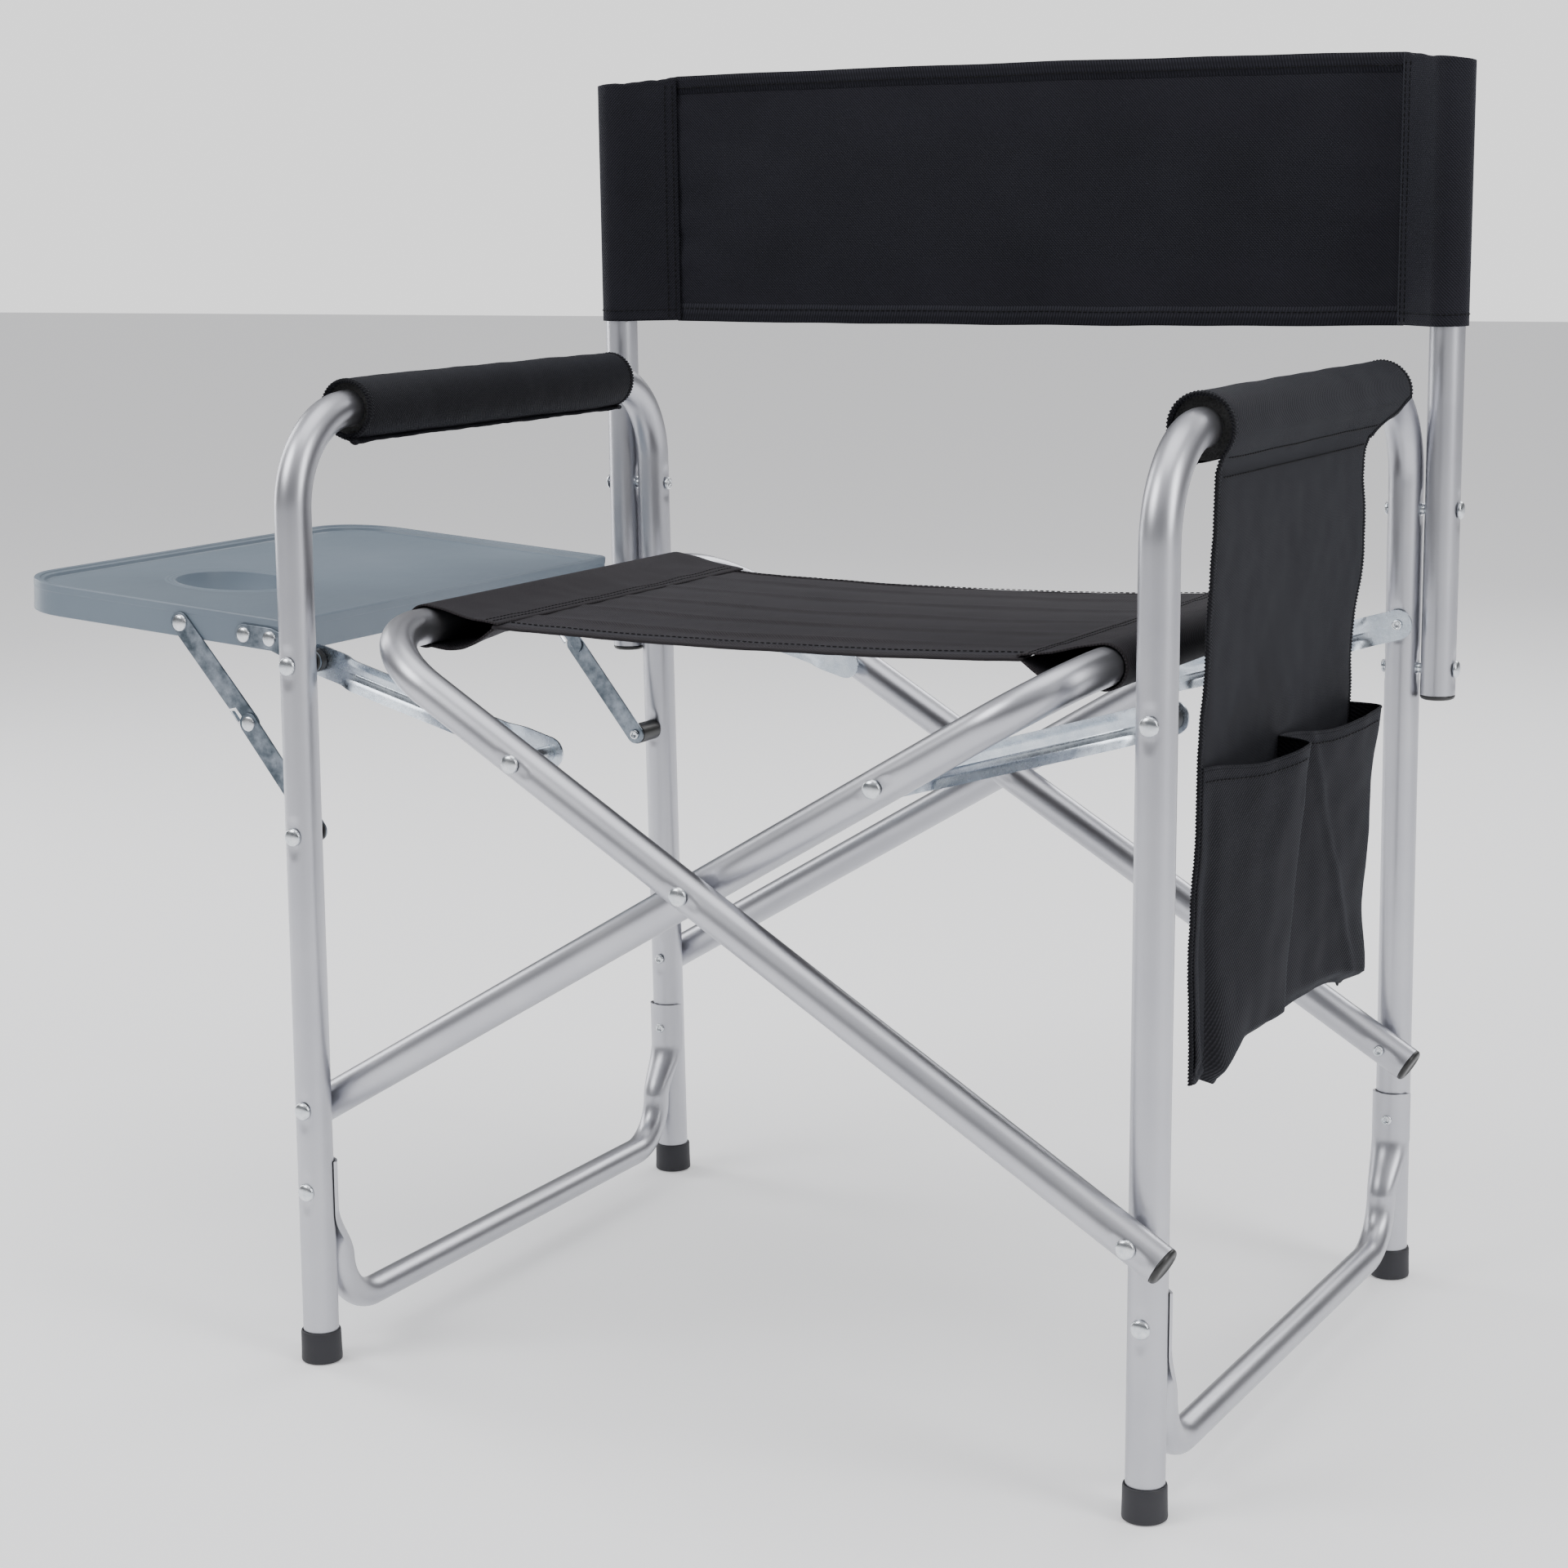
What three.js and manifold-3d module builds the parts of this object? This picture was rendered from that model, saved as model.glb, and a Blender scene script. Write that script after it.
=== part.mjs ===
// Folding director chair with a side table and a hanging organizer.
// Two arm frames are joined by a scissor of two seat tubes, so the chair folds flat side to side.
// Millimetres. +Z is up, the front of the chair faces -Y, and +X is the side with the organizer.
// Inside the chair group, x = 0 is midway between the arm frames, y = 0 midway between the legs.

import * as THREE from 'three';
import { mergeVertices } from 'three/addons/utils/BufferGeometryUtils.js';
import Module from 'manifold-3d';

const wasm = await Module();
wasm.setup();

// ---------------------------------------------------------------- driving dimensions

const GAP = 0.3; // air left between pieces that touch

// tubes
const TUBE_R = 11;
const TUBE_WALL = 1.2;
const TUBE_FACETS = 12;
const RAIL_R = 9.25;
const BEND_STEPS = 5;

// arm frames
const HALF_W = 272.8; // arm frame plane from the middle of the chair
const FLOOR_LEG_Y = 218.8; // leg axis from the middle of the chair, at the floor
const LEG_LEAN = 0.0148; // the legs lean together by this much per millimetre of height
const ARM_Z = 582;
const ARM_BEND_R = 58;

// pivot heights on the legs
const STRUT_Z = 434.3; // seat struts and the table hinge
const BRACE_Z = 331.2; // table braces
const SCISSOR_Z = 161.4; // lower ends of the seat tubes
const RAIL_RIVET_Z = 109.7;

// scissor seat tubes
const CROSS_Z = 322.7;
const SEAT_RAIL_X = 220;
const SEAT_BEND_R = 55;
const TUBE_PITCH = 22.6; // axis to axis where a seat tube passes a leg
const CROSS_Y = 11.4; // each seat tube's shift from the mean plane at the crossing
const TUBE_OVERRUN = 16; // seat tube past its lower pivot, measured along x
const STRUT_X = 111.6; // strut rivet on a seat tube

// back posts
const POST_X = HALF_W + 23.5;
const POST_Y = 212;
const POST_BOTTOM_Z = 390;
const POST_TOP_Z = 773;
const POST_BOLT_ZS = { upper: 506.3, lower: 406.3 };

// lower rails
const RAIL_Z = 27;
const RAIL_END_Z = 100;
const RAIL_END_Y = 196.5;
const RAIL_BEND_R = 34;
const SADDLE_Z = [88, 127];
const SADDLE_WALL = 1.5;

// feet
const FOOT_H = 20;
const FOOT_R = 12.4;

// rivets
const SHAFT_R = 3;
const HOLE_R = 3.5;
const DRILL_FACETS = 8;
const RIVET_FACETS = 8;
const HEAD_R = 4.7;
const HEAD_H = 2.6;
const TAIL_R = 3.4;
const TAIL_H = 1.6;

// sheet steel
const STRUT_T = 1.5;
const STRUT_HALF_WIDTH = 9.5;
const STRUT_Y = 190.5; // face of a strut away from the legs
const RIGHT_REAR_STRUT_Y = 199.3; // this one lies nearer its leg, with its channel turned inwards
const LINK_T = 1.4;
const LINK_HALF_WIDTH = 6.6;

// side table
const TABLE_X = -290; // inner edge of the rim
const TABLE_Z = 457.5; // top of the rim at its inner edge
const TABLE_TILT = 0.0779; // radians, outer edge up
const TABLE_WIDTH = 221;
const TABLE_Y = [-197.2, 175.6];
const TABLE_DEPTH = 20;
const TABLE_RIM_IN = 7;
const TABLE_RIM_H = 4;
const TABLE_WALL = 2.5;
const TABLE_CORNER_R = 44;
const CUP_X = -418;
const CUP_Y = -82;
const CUP_R = 37.5;
const BRACE_MID = [-321, 393.3];
const BRACE_TOP = [-371.2, 452.5];
const STRIP_RIVETS = [[-303.6, 446.2], [-322.9, 447.7]];

// fabric
const CLOTH_T = 2.2;
const SLEEVE_IN_R = 11.5;
const SLEEVE_OUT_R = 13.3;
const SEAT_Y = [-155, 150];
const SEAT_SEAM_X = 172;
const SEAT_Z = 455.2;
const BACK_Z = [619, 775];
const BACK_FLAP_X = 271;
const BACK_Y = 226;
const PAD_Y = [-152, 155];
const PAD_R = 18.5;
const BAG_X = 275; // inner face of the organizer's panel
const BAG_Y = [-163, 90];
const BAG_TOP_Z = 563;
const BAG_BOTTOM_Z = 236;
const POCKET_Z = [240, 402];
const POCKETS = [[-163, -45, 24], [-45, 90, 20]]; // front edge, rear edge and bulge

// the whole chair is shifted so that the origin lies under the middle of its box
const BOX_SHIFT = [100.2, 0, 0];

// ---------------------------------------------------------------- materials

function material(color, roughness, metalness) {
  return new THREE.MeshStandardMaterial({ color, roughness, metalness });
}

const aluminium = material(0xc9cbd3, 0.32, 0.9);
const zincSteel = material(0x9aa9b8, 0.38, 0.9);
const rubber = material(0x2b2c30, 0.75, 0);
const tablePlastic = material(0x8a9aa8, 0.5, 0);
const blackPlastic = material(0x1d1e21, 0.5, 0);
const seatCloth = material(0x3a363a, 0.95, 0);
const backCloth = material(0x28292f, 0.95, 0);
const bagCloth = material(0x232328, 0.95, 0);

// ---------------------------------------------------------------- solids

function toSolid(geometry) {
  const bare = geometry.clone();
  bare.deleteAttribute('normal');
  bare.deleteAttribute('uv');
  const merged = mergeVertices(bare, 1e-3);
  const index = merged.index.array;
  const triVerts = [];
  for (let i = 0; i < index.length; i += 3) {
    const [a, b, c] = [index[i], index[i + 1], index[i + 2]];
    if (a !== b && b !== c && c !== a) {
      triVerts.push(a, b, c);
    }
  }
  return new wasm.Manifold(new wasm.Mesh({
    numProp: 3,
    vertProperties: new Float32Array(merged.attributes.position.array),
    triVerts: new Uint32Array(triVerts),
  }));
}

function toGeometry(solid) {
  const mesh = solid.getMesh();
  const geometry = new THREE.BufferGeometry();
  geometry.setAttribute('position', new THREE.BufferAttribute(mesh.vertProperties, 3));
  geometry.setIndex(new THREE.BufferAttribute(mesh.triVerts, 1));
  geometry.computeVertexNormals();
  return geometry;
}

function cut(geometry, tools) {
  return toGeometry(tools.reduce((solid, tool) => solid.subtract(toSolid(tool)), toSolid(geometry)));
}

function join(geometries) {
  const [first, ...others] = geometries.map(toSolid);
  return toGeometry(others.reduce((solid, other) => solid.add(other), first));
}

// ---------------------------------------------------------------- shapes

// A path of straight runs with round bends, sampled only where its direction changes.
class BentPath extends THREE.Curve {
  constructor(corners, bendRadius) {
    super();
    this.stations = [];
    const last = corners.length - 1;
    const direction = (i) => corners[i + 1].clone().sub(corners[i]).normalize();
    this.stations.push({ point: corners[0], tangent: direction(0) });
    for (let i = 1; i < last; i += 1) {
      this.addBend(corners[i], direction(i - 1), direction(i), bendRadius);
    }
    this.stations.push({ point: corners[last], tangent: direction(last - 1) });
  }

  addBend(corner, inward, outward, radius) {
    const turn = inward.angleTo(outward);
    const start = corner.clone().addScaledVector(inward, -radius * Math.tan(turn / 2));
    const side = outward.clone().addScaledVector(inward, -inward.dot(outward)).normalize();
    for (let step = 0; step <= BEND_STEPS; step += 1) {
      const angle = (turn * step) / BEND_STEPS;
      const point = start.clone()
        .addScaledVector(inward, radius * Math.sin(angle))
        .addScaledVector(side, radius * (1 - Math.cos(angle)));
      const tangent = inward.clone().multiplyScalar(Math.cos(angle))
        .addScaledVector(side, Math.sin(angle));
      this.stations.push({ point, tangent });
    }
  }

  station(u) {
    return this.stations[Math.round(u * (this.stations.length - 1))];
  }

  getPointAt(u) {
    return this.station(u).point.clone();
  }

  getTangentAt(u) {
    return this.station(u).tangent.clone();
  }
}

function discShape(radius, holeRadius = 0) {
  const shape = new THREE.Shape();
  shape.absarc(0, 0, radius, 0, 2 * Math.PI, false);
  if (holeRadius > 0) {
    const hole = new THREE.Path();
    hole.absarc(0, 0, holeRadius, 0, 2 * Math.PI, true);
    shape.holes.push(hole);
  }
  return shape;
}

function bentTube(corners, bendRadius, radius, facets = TUBE_FACETS) {
  const path = new BentPath(corners, bendRadius);
  return new THREE.ExtrudeGeometry(discShape(radius, radius - TUBE_WALL), {
    steps: path.stations.length - 1,
    extrudePath: path,
    curveSegments: facets / 2,
  });
}

// A flat outline in x and z, given a thickness along y from y0 to y1.
function plateAlongY(shape, y0, y1, curveSegments = 6) {
  const depth = y1 - y0;
  const geometry = new THREE.ExtrudeGeometry(shape, { depth, bevelEnabled: false, curveSegments });
  geometry.rotateX(Math.PI / 2);
  geometry.translate(0, y1, 0);
  return geometry;
}

// A flat outline in x and y, given a height from z0 to z1.
function slab(shape, z0, z1, curveSegments = 6) {
  const depth = z1 - z0;
  const geometry = new THREE.ExtrudeGeometry(shape, { depth, bevelEnabled: false, curveSegments });
  geometry.translate(0, 0, z0);
  return geometry;
}

function box(x, y, z) {
  const geometry = new THREE.BoxGeometry(x[1] - x[0], y[1] - y[0], z[1] - z[0]);
  geometry.translate((x[0] + x[1]) / 2, (y[0] + y[1]) / 2, (z[0] + z[1]) / 2);
  return geometry;
}

function polygon(points) {
  return new THREE.Shape(points.map(([x, y]) => new THREE.Vector2(x, y)));
}

function lathe(profile, segments) {
  return new THREE.LatheGeometry(profile.map(([r, y]) => new THREE.Vector2(r, y)), segments);
}

// Drill for a rivet hole along y.
function drillY(x, y, z, radius = HOLE_R) {
  const geometry = new THREE.CylinderGeometry(radius, radius, 34, DRILL_FACETS);
  geometry.translate(x, y, z);
  return geometry;
}

// Drill for a bolt hole along x.
function drillX(x, y, z) {
  const geometry = new THREE.CylinderGeometry(HOLE_R, HOLE_R, 34, DRILL_FACETS);
  geometry.rotateZ(Math.PI / 2);
  geometry.translate(x, y, z);
  return geometry;
}

// Round-ended bar between two pivots in the x-z plane.
function barShape([x0, z0], [x1, z1], halfWidth) {
  const angle = Math.atan2(z1 - z0, x1 - x0);
  const shape = new THREE.Shape();
  shape.absarc(x1, z1, halfWidth, angle - Math.PI / 2, angle + Math.PI / 2, false);
  shape.absarc(x0, z0, halfWidth, angle + Math.PI / 2, angle + (3 * Math.PI) / 2, false);
  return shape;
}

function barPlate(from, to, halfWidth, y0, y1) {
  return plateAlongY(barShape(from, to, halfWidth), y0, y1);
}

// Domed rivet with a rolled tail: the shank runs along +y from its tail face to its head face.
function rivetGeometry(length, head = HEAD_R, segments = RIVET_FACETS) {
  return lathe([
    [0, -TAIL_H],
    [TAIL_R * 0.8, -TAIL_H],
    [TAIL_R, -TAIL_H / 2],
    [TAIL_R, 0],
    [SHAFT_R, 0],
    [SHAFT_R, length],
    [head, length],
    [head * 0.9, length + HEAD_H * 0.5],
    [head * 0.55, length + HEAD_H * 0.87],
    [0, length + HEAD_H],
  ], segments);
}

function rivetAlongY(x, z, tailY, headY) {
  const geometry = rivetGeometry(Math.abs(headY - tailY));
  if (headY < tailY) {
    geometry.rotateX(Math.PI);
  }
  geometry.translate(x, tailY, z);
  return geometry;
}

// ---------------------------------------------------------------- where things lie

const legY = (z) => FLOOR_LEG_Y - LEG_LEAN * z;
const scissorSlope = (CROSS_Z - SCISSOR_Z) / HALF_W;
const FRONT = -1;
const REAR = 1;
const LEFT = -1;
const RIGHT = 1;
const sideName = { [LEFT]: 'left', [RIGHT]: 'right' };
const endName = { [FRONT]: 'front', [REAR]: 'rear' };
const tubeSide = { a: LEFT, b: RIGHT }; // the side that each seat tube's rail is on

// Axis y of a seat tube's front or rear run, at a given x. Tube b is tube a turned half a turn.
function seatTubeY(tube, end, x) {
  if (tube === 'b') {
    return -seatTubeY('a', -end, -x);
  }
  const atLeg = end * legY(SCISSOR_Z) - TUBE_PITCH;
  const middle = end * (legY(SCISSOR_Z) - 0.8) - CROSS_Y;
  return middle + ((atLeg - middle) * x) / HALF_W;
}

function seatTubeZ(tube, x) {
  return CROSS_Z + tubeSide[tube] * scissorSlope * x;
}

function seatTubePoint(tube, end, x) {
  return new THREE.Vector3(x, seatTubeY(tube, end, x), seatTubeZ(tube, x));
}

// ---------------------------------------------------------------- the chair

const chair = new THREE.Group();
chair.position.set(...BOX_SHIFT);

function add(name, geometry, meshMaterial) {
  const mesh = new THREE.Mesh(geometry, meshMaterial);
  mesh.name = name;
  chair.add(mesh);
  return mesh;
}

// One inverted-U tube: front leg, arm and rear leg.
function armFrame(side) {
  const x = side * HALF_W;
  const bottom = 4.6;
  const corners = [
    new THREE.Vector3(x, -legY(bottom), bottom),
    new THREE.Vector3(x, -legY(ARM_Z), ARM_Z),
    new THREE.Vector3(x, legY(ARM_Z), ARM_Z),
    new THREE.Vector3(x, legY(bottom), bottom),
  ];
  const heights = [STRUT_Z, SCISSOR_Z, RAIL_RIVET_Z];
  if (side === LEFT) {
    heights.push(BRACE_Z);
  }
  const drills = heights.flatMap((z) => [FRONT, REAR].map((end) => drillY(x, end * legY(z), z)));
  Object.values(POST_BOLT_ZS).forEach((z) => drills.push(drillX(x, POST_Y, z)));
  const tube = bentTube(corners, ARM_BEND_R, TUBE_R);
  add(`${sideName[side]}_arm_frame`, cut(tube, drills), aluminium);
}

// Rubber cap under a leg: a flat underside and a bore that the leg stands in.
function foot(side, end) {
  const floor = 4.2;
  const bore = 11.45;
  const geometry = lathe([
    [0, 0],
    [FOOT_R - 0.6, 0],
    [FOOT_R + 0.3, 2],
    [FOOT_R, 6],
    [FOOT_R - 0.2, FOOT_H],
    [bore, FOOT_H],
    [bore, floor],
    [0, floor],
  ], 16);
  geometry.rotateX(Math.PI / 2);
  const mesh = add(`${sideName[side]}_${endName[end]}_foot`, geometry, rubber);
  mesh.position.set(side * HALF_W, end * legY(0), 0);
}

// U-shaped rail between the feet, with a saddle and a rivet at each leg.
function lowerRail(side) {
  const x = side * HALF_W;
  const corners = [
    new THREE.Vector3(x, -RAIL_END_Y, RAIL_END_Z),
    new THREE.Vector3(x, -RAIL_END_Y, RAIL_Z),
    new THREE.Vector3(x, RAIL_END_Y, RAIL_Z),
    new THREE.Vector3(x, RAIL_END_Y, RAIL_END_Z),
  ];
  const pieces = [bentTube(corners, RAIL_BEND_R, RAIL_R, 10)];
  [FRONT, REAR].forEach((end) => {
    const legAxis = end * legY(RAIL_RIVET_Z);
    const inner = TUBE_R + 0.6;
    const outer = inner + SADDLE_WALL;
    const facing = end === FRONT ? Math.PI / 2 : -Math.PI / 2;
    const half = 1.3;
    const saddle = new THREE.Shape();
    saddle.absarc(x, legAxis, outer, facing - half, facing + half, false);
    saddle.absarc(x, legAxis, inner, facing + half, facing - half, true);
    pieces.push(slab(saddle, SADDLE_Z[0], SADDLE_Z[1]));
    const tailY = legAxis - end * (outer - 0.4);
    pieces.push(rivetAlongY(x, RAIL_RIVET_Z, tailY, legAxis + end * (TUBE_R + GAP)));
  });
  add(`${sideName[side]}_lower_rail`, join(pieces), aluminium);
}

// Straight post outside the rear leg, with two cross bolts and a plug in its lower end.
function backPost(side) {
  const x = side * POST_X;
  const corners = [
    new THREE.Vector3(x, POST_Y, POST_BOTTOM_Z),
    new THREE.Vector3(x, POST_Y, POST_TOP_Z),
  ];
  const drills = Object.values(POST_BOLT_ZS).map((z) => drillX(x, POST_Y, z));
  add(`${sideName[side]}_back_post`, cut(bentTube(corners, 1, TUBE_R), drills), aluminium);
  tubePlug(`${sideName[side]}_post_plug`, corners[0], new THREE.Vector3(0, 0, -1));
  const inner = HALF_W - TUBE_R - GAP;
  const outer = POST_X + TUBE_R + GAP;
  Object.entries(POST_BOLT_ZS).forEach(([level, z]) => {
    const geometry = rivetGeometry(outer - inner, 5.4);
    geometry.rotateZ(-Math.PI / 2);
    const bolt = add(`${sideName[side]}_${level}_post_bolt`, geometry, zincSteel);
    bolt.position.set(side * inner, POST_Y, z);
    bolt.rotation.z = side === LEFT ? Math.PI : 0;
  });
}

// Pressed-in end plug with a shallow cap. The outward direction points out of the tube.
function tubePlug(name, endPoint, outward) {
  const geometry = lathe([
    [0, -8],
    [8.8, -8],
    [9, GAP],
    [TUBE_R - 0.1, GAP],
    [TUBE_R - 0.1, 1.8],
    [9.4, 3],
    [0, 3.4],
  ], TUBE_FACETS);
  const mesh = add(name, geometry, blackPlastic);
  mesh.position.copy(endPoint);
  mesh.quaternion.setFromUnitVectors(new THREE.Vector3(0, 1, 0), outward);
}

// Seat rail and the two crossing runs below it, bent from one tube.
function seatTube(tube) {
  const railX = tubeSide[tube] * SEAT_RAIL_X;
  const pivotX = -tubeSide[tube] * HALF_W;
  const lowX = pivotX - tubeSide[tube] * TUBE_OVERRUN;
  const corners = [
    seatTubePoint(tube, FRONT, lowX),
    seatTubePoint(tube, FRONT, railX),
    seatTubePoint(tube, REAR, railX),
    seatTubePoint(tube, REAR, lowX),
  ];
  const strutX = tubeSide[tube] * STRUT_X;
  const drills = [FRONT, REAR].flatMap((end) => [pivotX, 0, strutX].map((x) => {
    const point = seatTubePoint(tube, end, x);
    return drillY(point.x, point.y, point.z);
  }));
  add(`seat_tube_${tube}`, cut(bentTube(corners, SEAT_BEND_R, TUBE_R), drills), aluminium);
  const down = corners[0].clone().sub(corners[1]).normalize();
  tubePlug(`seat_tube_${tube}_front_plug`, corners[0], down);
  const downRear = corners[3].clone().sub(corners[2]).normalize();
  tubePlug(`seat_tube_${tube}_rear_plug`, corners[3], downRear);
}

// Rivets through a seat tube and a leg, through both seat tubes, and through a strut's tube.
function scissorRivets(end) {
  const clear = TUBE_R + GAP;
  const front = endName[end];
  [LEFT, RIGHT].forEach((side) => {
    const x = side * HALF_W;
    const tubeAxis = seatTubeY(side === RIGHT ? 'a' : 'b', end, x);
    const legAxis = end * legY(SCISSOR_Z);
    const [inner, outer] = [tubeAxis, legAxis].sort((p, q) => Math.abs(p) - Math.abs(q));
    const geometry = rivetAlongY(x, SCISSOR_Z, inner - end * clear, outer + end * clear);
    add(`${sideName[side]}_${front}_seat_rivet`, geometry, zincSteel);
  });
  const crossing = ['a', 'b'].map((tube) => seatTubeY(tube, end, 0));
  const [inner, outer] = crossing.sort((p, q) => Math.abs(p) - Math.abs(q));
  const geometry = rivetAlongY(0, CROSS_Z, inner - end * clear, outer + end * clear);
  add(`${front}_crossing_rivet`, geometry, zincSteel);
  ['a', 'b'].forEach((tube) => {
    const point = seatTubePoint(tube, end, tubeSide[tube] * STRUT_X);
    const rivet = rivetAlongY(point.x, point.z, point.y - end * clear, point.y + end * clear);
    add(`seat_tube_${tube}_${front}_strut_rivet`, rivet, zincSteel);
  });
}

// Pressed-steel strut from a leg to the seat tube beside it: flat ends and a channel between.
function seatStrut(side, end) {
  const tube = side === LEFT ? 'a' : 'b';
  const turnedIn = side === RIGHT && end === REAR;
  const legPivot = [side * HALF_W, STRUT_Z];
  const tubePivot = [side * STRUT_X, seatTubeZ(tube, side * STRUT_X)];
  const length = Math.hypot(tubePivot[0] - legPivot[0], tubePivot[1] - legPivot[1]);
  const flatEnd = 26;
  const lap = 4;
  const section = polygon([
    [-4.5, 0],
    [4.5, 0],
    [9.5, 5],
    [7.7, 5],
    [4, STRUT_T],
    [-4, STRUT_T],
    [-7.7, 5],
    [-9.5, 5],
  ]);
  const channel = slab(section, flatEnd - lap, length - flatEnd + lap);
  channel.applyMatrix4(new THREE.Matrix4().set(
    0, 0, 1, 0,
    0, 1, 0, 0,
    -1, 0, 0, 0,
    0, 0, 0, 1,
  ));
  const tabs = [[0, flatEnd], [length - flatEnd, length]].map(([x0, x1], i) => {
    const tab = plateAlongY(barShape([x0, 0], [x1, 0], STRUT_HALF_WIDTH), 0, STRUT_T);
    const keep = i === 0 ? [-20, flatEnd] : [length - flatEnd, length + 20];
    return toGeometry(toSolid(tab).intersect(toSolid(box(keep, [-1, 3], [-12, 12]))));
  });
  const drills = [drillY(0, 0, 0), drillY(length, 0, 0)];
  const geometry = cut(join([channel, ...tabs]), drills);
  if (end === FRONT || turnedIn) {
    geometry.rotateX(Math.PI);
  }
  const webY = turnedIn ? RIGHT_REAR_STRUT_Y + STRUT_T : end * STRUT_Y;
  const angle = Math.atan2(tubePivot[1] - legPivot[1], tubePivot[0] - legPivot[0]);
  const mesh = add(`${sideName[side]}_${endName[end]}_strut`, geometry, zincSteel);
  mesh.position.set(legPivot[0], webY, legPivot[1]);
  mesh.rotation.y = -angle;
}

// Rivet through a leg and its strut. On the left it is also the table's hinge pin.
function strutRivet(side, end) {
  const clear = TUBE_R + GAP;
  const headY = end * (legY(STRUT_Z) + clear);
  let tail = side === RIGHT && end === REAR ? RIGHT_REAR_STRUT_Y : STRUT_Y;
  if (side === LEFT && end === REAR) {
    tail = TABLE_Y[1] + GAP;
  }
  const geometry = rivetAlongY(side * HALF_W, STRUT_Z, end * (tail - GAP), headY);
  add(`${sideName[side]}_${endName[end]}_strut_rivet`, geometry, zincSteel);
}

// ---------------------------------------------------------------- side table

// Table outline: square corners beside the chair, round corners outside, grown by an offset.
function tableOutline(grow) {
  const [x0, x1] = [-TABLE_WIDTH - grow, grow];
  const [y0, y1] = [TABLE_Y[0] - grow, TABLE_Y[1] + grow];
  const r = TABLE_CORNER_R + grow;
  const shape = new THREE.Shape();
  shape.moveTo(x1, y0);
  shape.lineTo(x1, y1);
  shape.lineTo(x0 + r, y1);
  shape.absarc(x0 + r, y1 - r, r, Math.PI / 2, Math.PI, false);
  shape.absarc(x0 + r, y0 + r, r, Math.PI, 1.5 * Math.PI, false);
  return shape;
}

function tray() {
  const underside = -TABLE_RIM_H - TABLE_WALL;
  const walls = slab(tableOutline(0), -TABLE_DEPTH, 0);
  const hollow = slab(tableOutline(-TABLE_WALL), -TABLE_DEPTH - 1, underside);
  const recess = slab(tableOutline(-TABLE_RIM_IN), -TABLE_RIM_H, 1);
  const cupX = (CUP_X - TABLE_X) / Math.cos(TABLE_TILT);
  const collar = slab(discShape(CUP_R + 2), -TABLE_DEPTH, underside + 0.5, 12);
  collar.translate(cupX, CUP_Y, 0);
  const hole = slab(discShape(CUP_R), -TABLE_DEPTH - 1, 1, 12);
  hole.translate(cupX, CUP_Y, 0);
  const shell = cut(walls, [hollow, recess]);
  const mesh = add('side_table', cut(join([shell, collar]), [hole]), tablePlastic);
  mesh.position.set(TABLE_X, 0, TABLE_Z);
  mesh.rotation.y = TABLE_TILT;
}

// Strip riveted to the table's end wall, turning on the leg's rivet.
function tableStrip(end) {
  const wallY = end === FRONT ? TABLE_Y[0] : TABLE_Y[1];
  const near = wallY + end * GAP;
  const far = near + end * LINK_T;
  const [y0, y1] = [Math.min(near, far), Math.max(near, far)];
  const hinge = [-HALF_W, STRUT_Z];
  const plates = [
    barPlate(STRIP_RIVETS[1], STRIP_RIVETS[0], LINK_HALF_WIDTH, y0, y1),
    barPlate(STRIP_RIVETS[0], hinge, LINK_HALF_WIDTH + 0.4, y0, y1),
  ];
  const strip = cut(join(plates), [drillY(hinge[0], near, hinge[1])]);
  const heads = STRIP_RIVETS.map(([x, z]) => domeHead(x, z, far, end));
  add(`${endName[end]}_table_strip`, join([strip, ...heads]), zincSteel);
}

// Rivet head that stands on a plate's outer face.
function domeHead(x, z, y, end) {
  const geometry = lathe([
    [0, -0.7],
    [HEAD_R - 0.2, -0.7],
    [HEAD_R - 0.2, 0.2],
    [HEAD_R * 0.85, 1.3],
    [HEAD_R * 0.5, 2.1],
    [0, 2.4],
  ], RIVET_FACETS);
  if (end === FRONT) {
    geometry.rotateX(Math.PI);
  }
  geometry.translate(x, y, z);
  return geometry;
}

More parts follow.
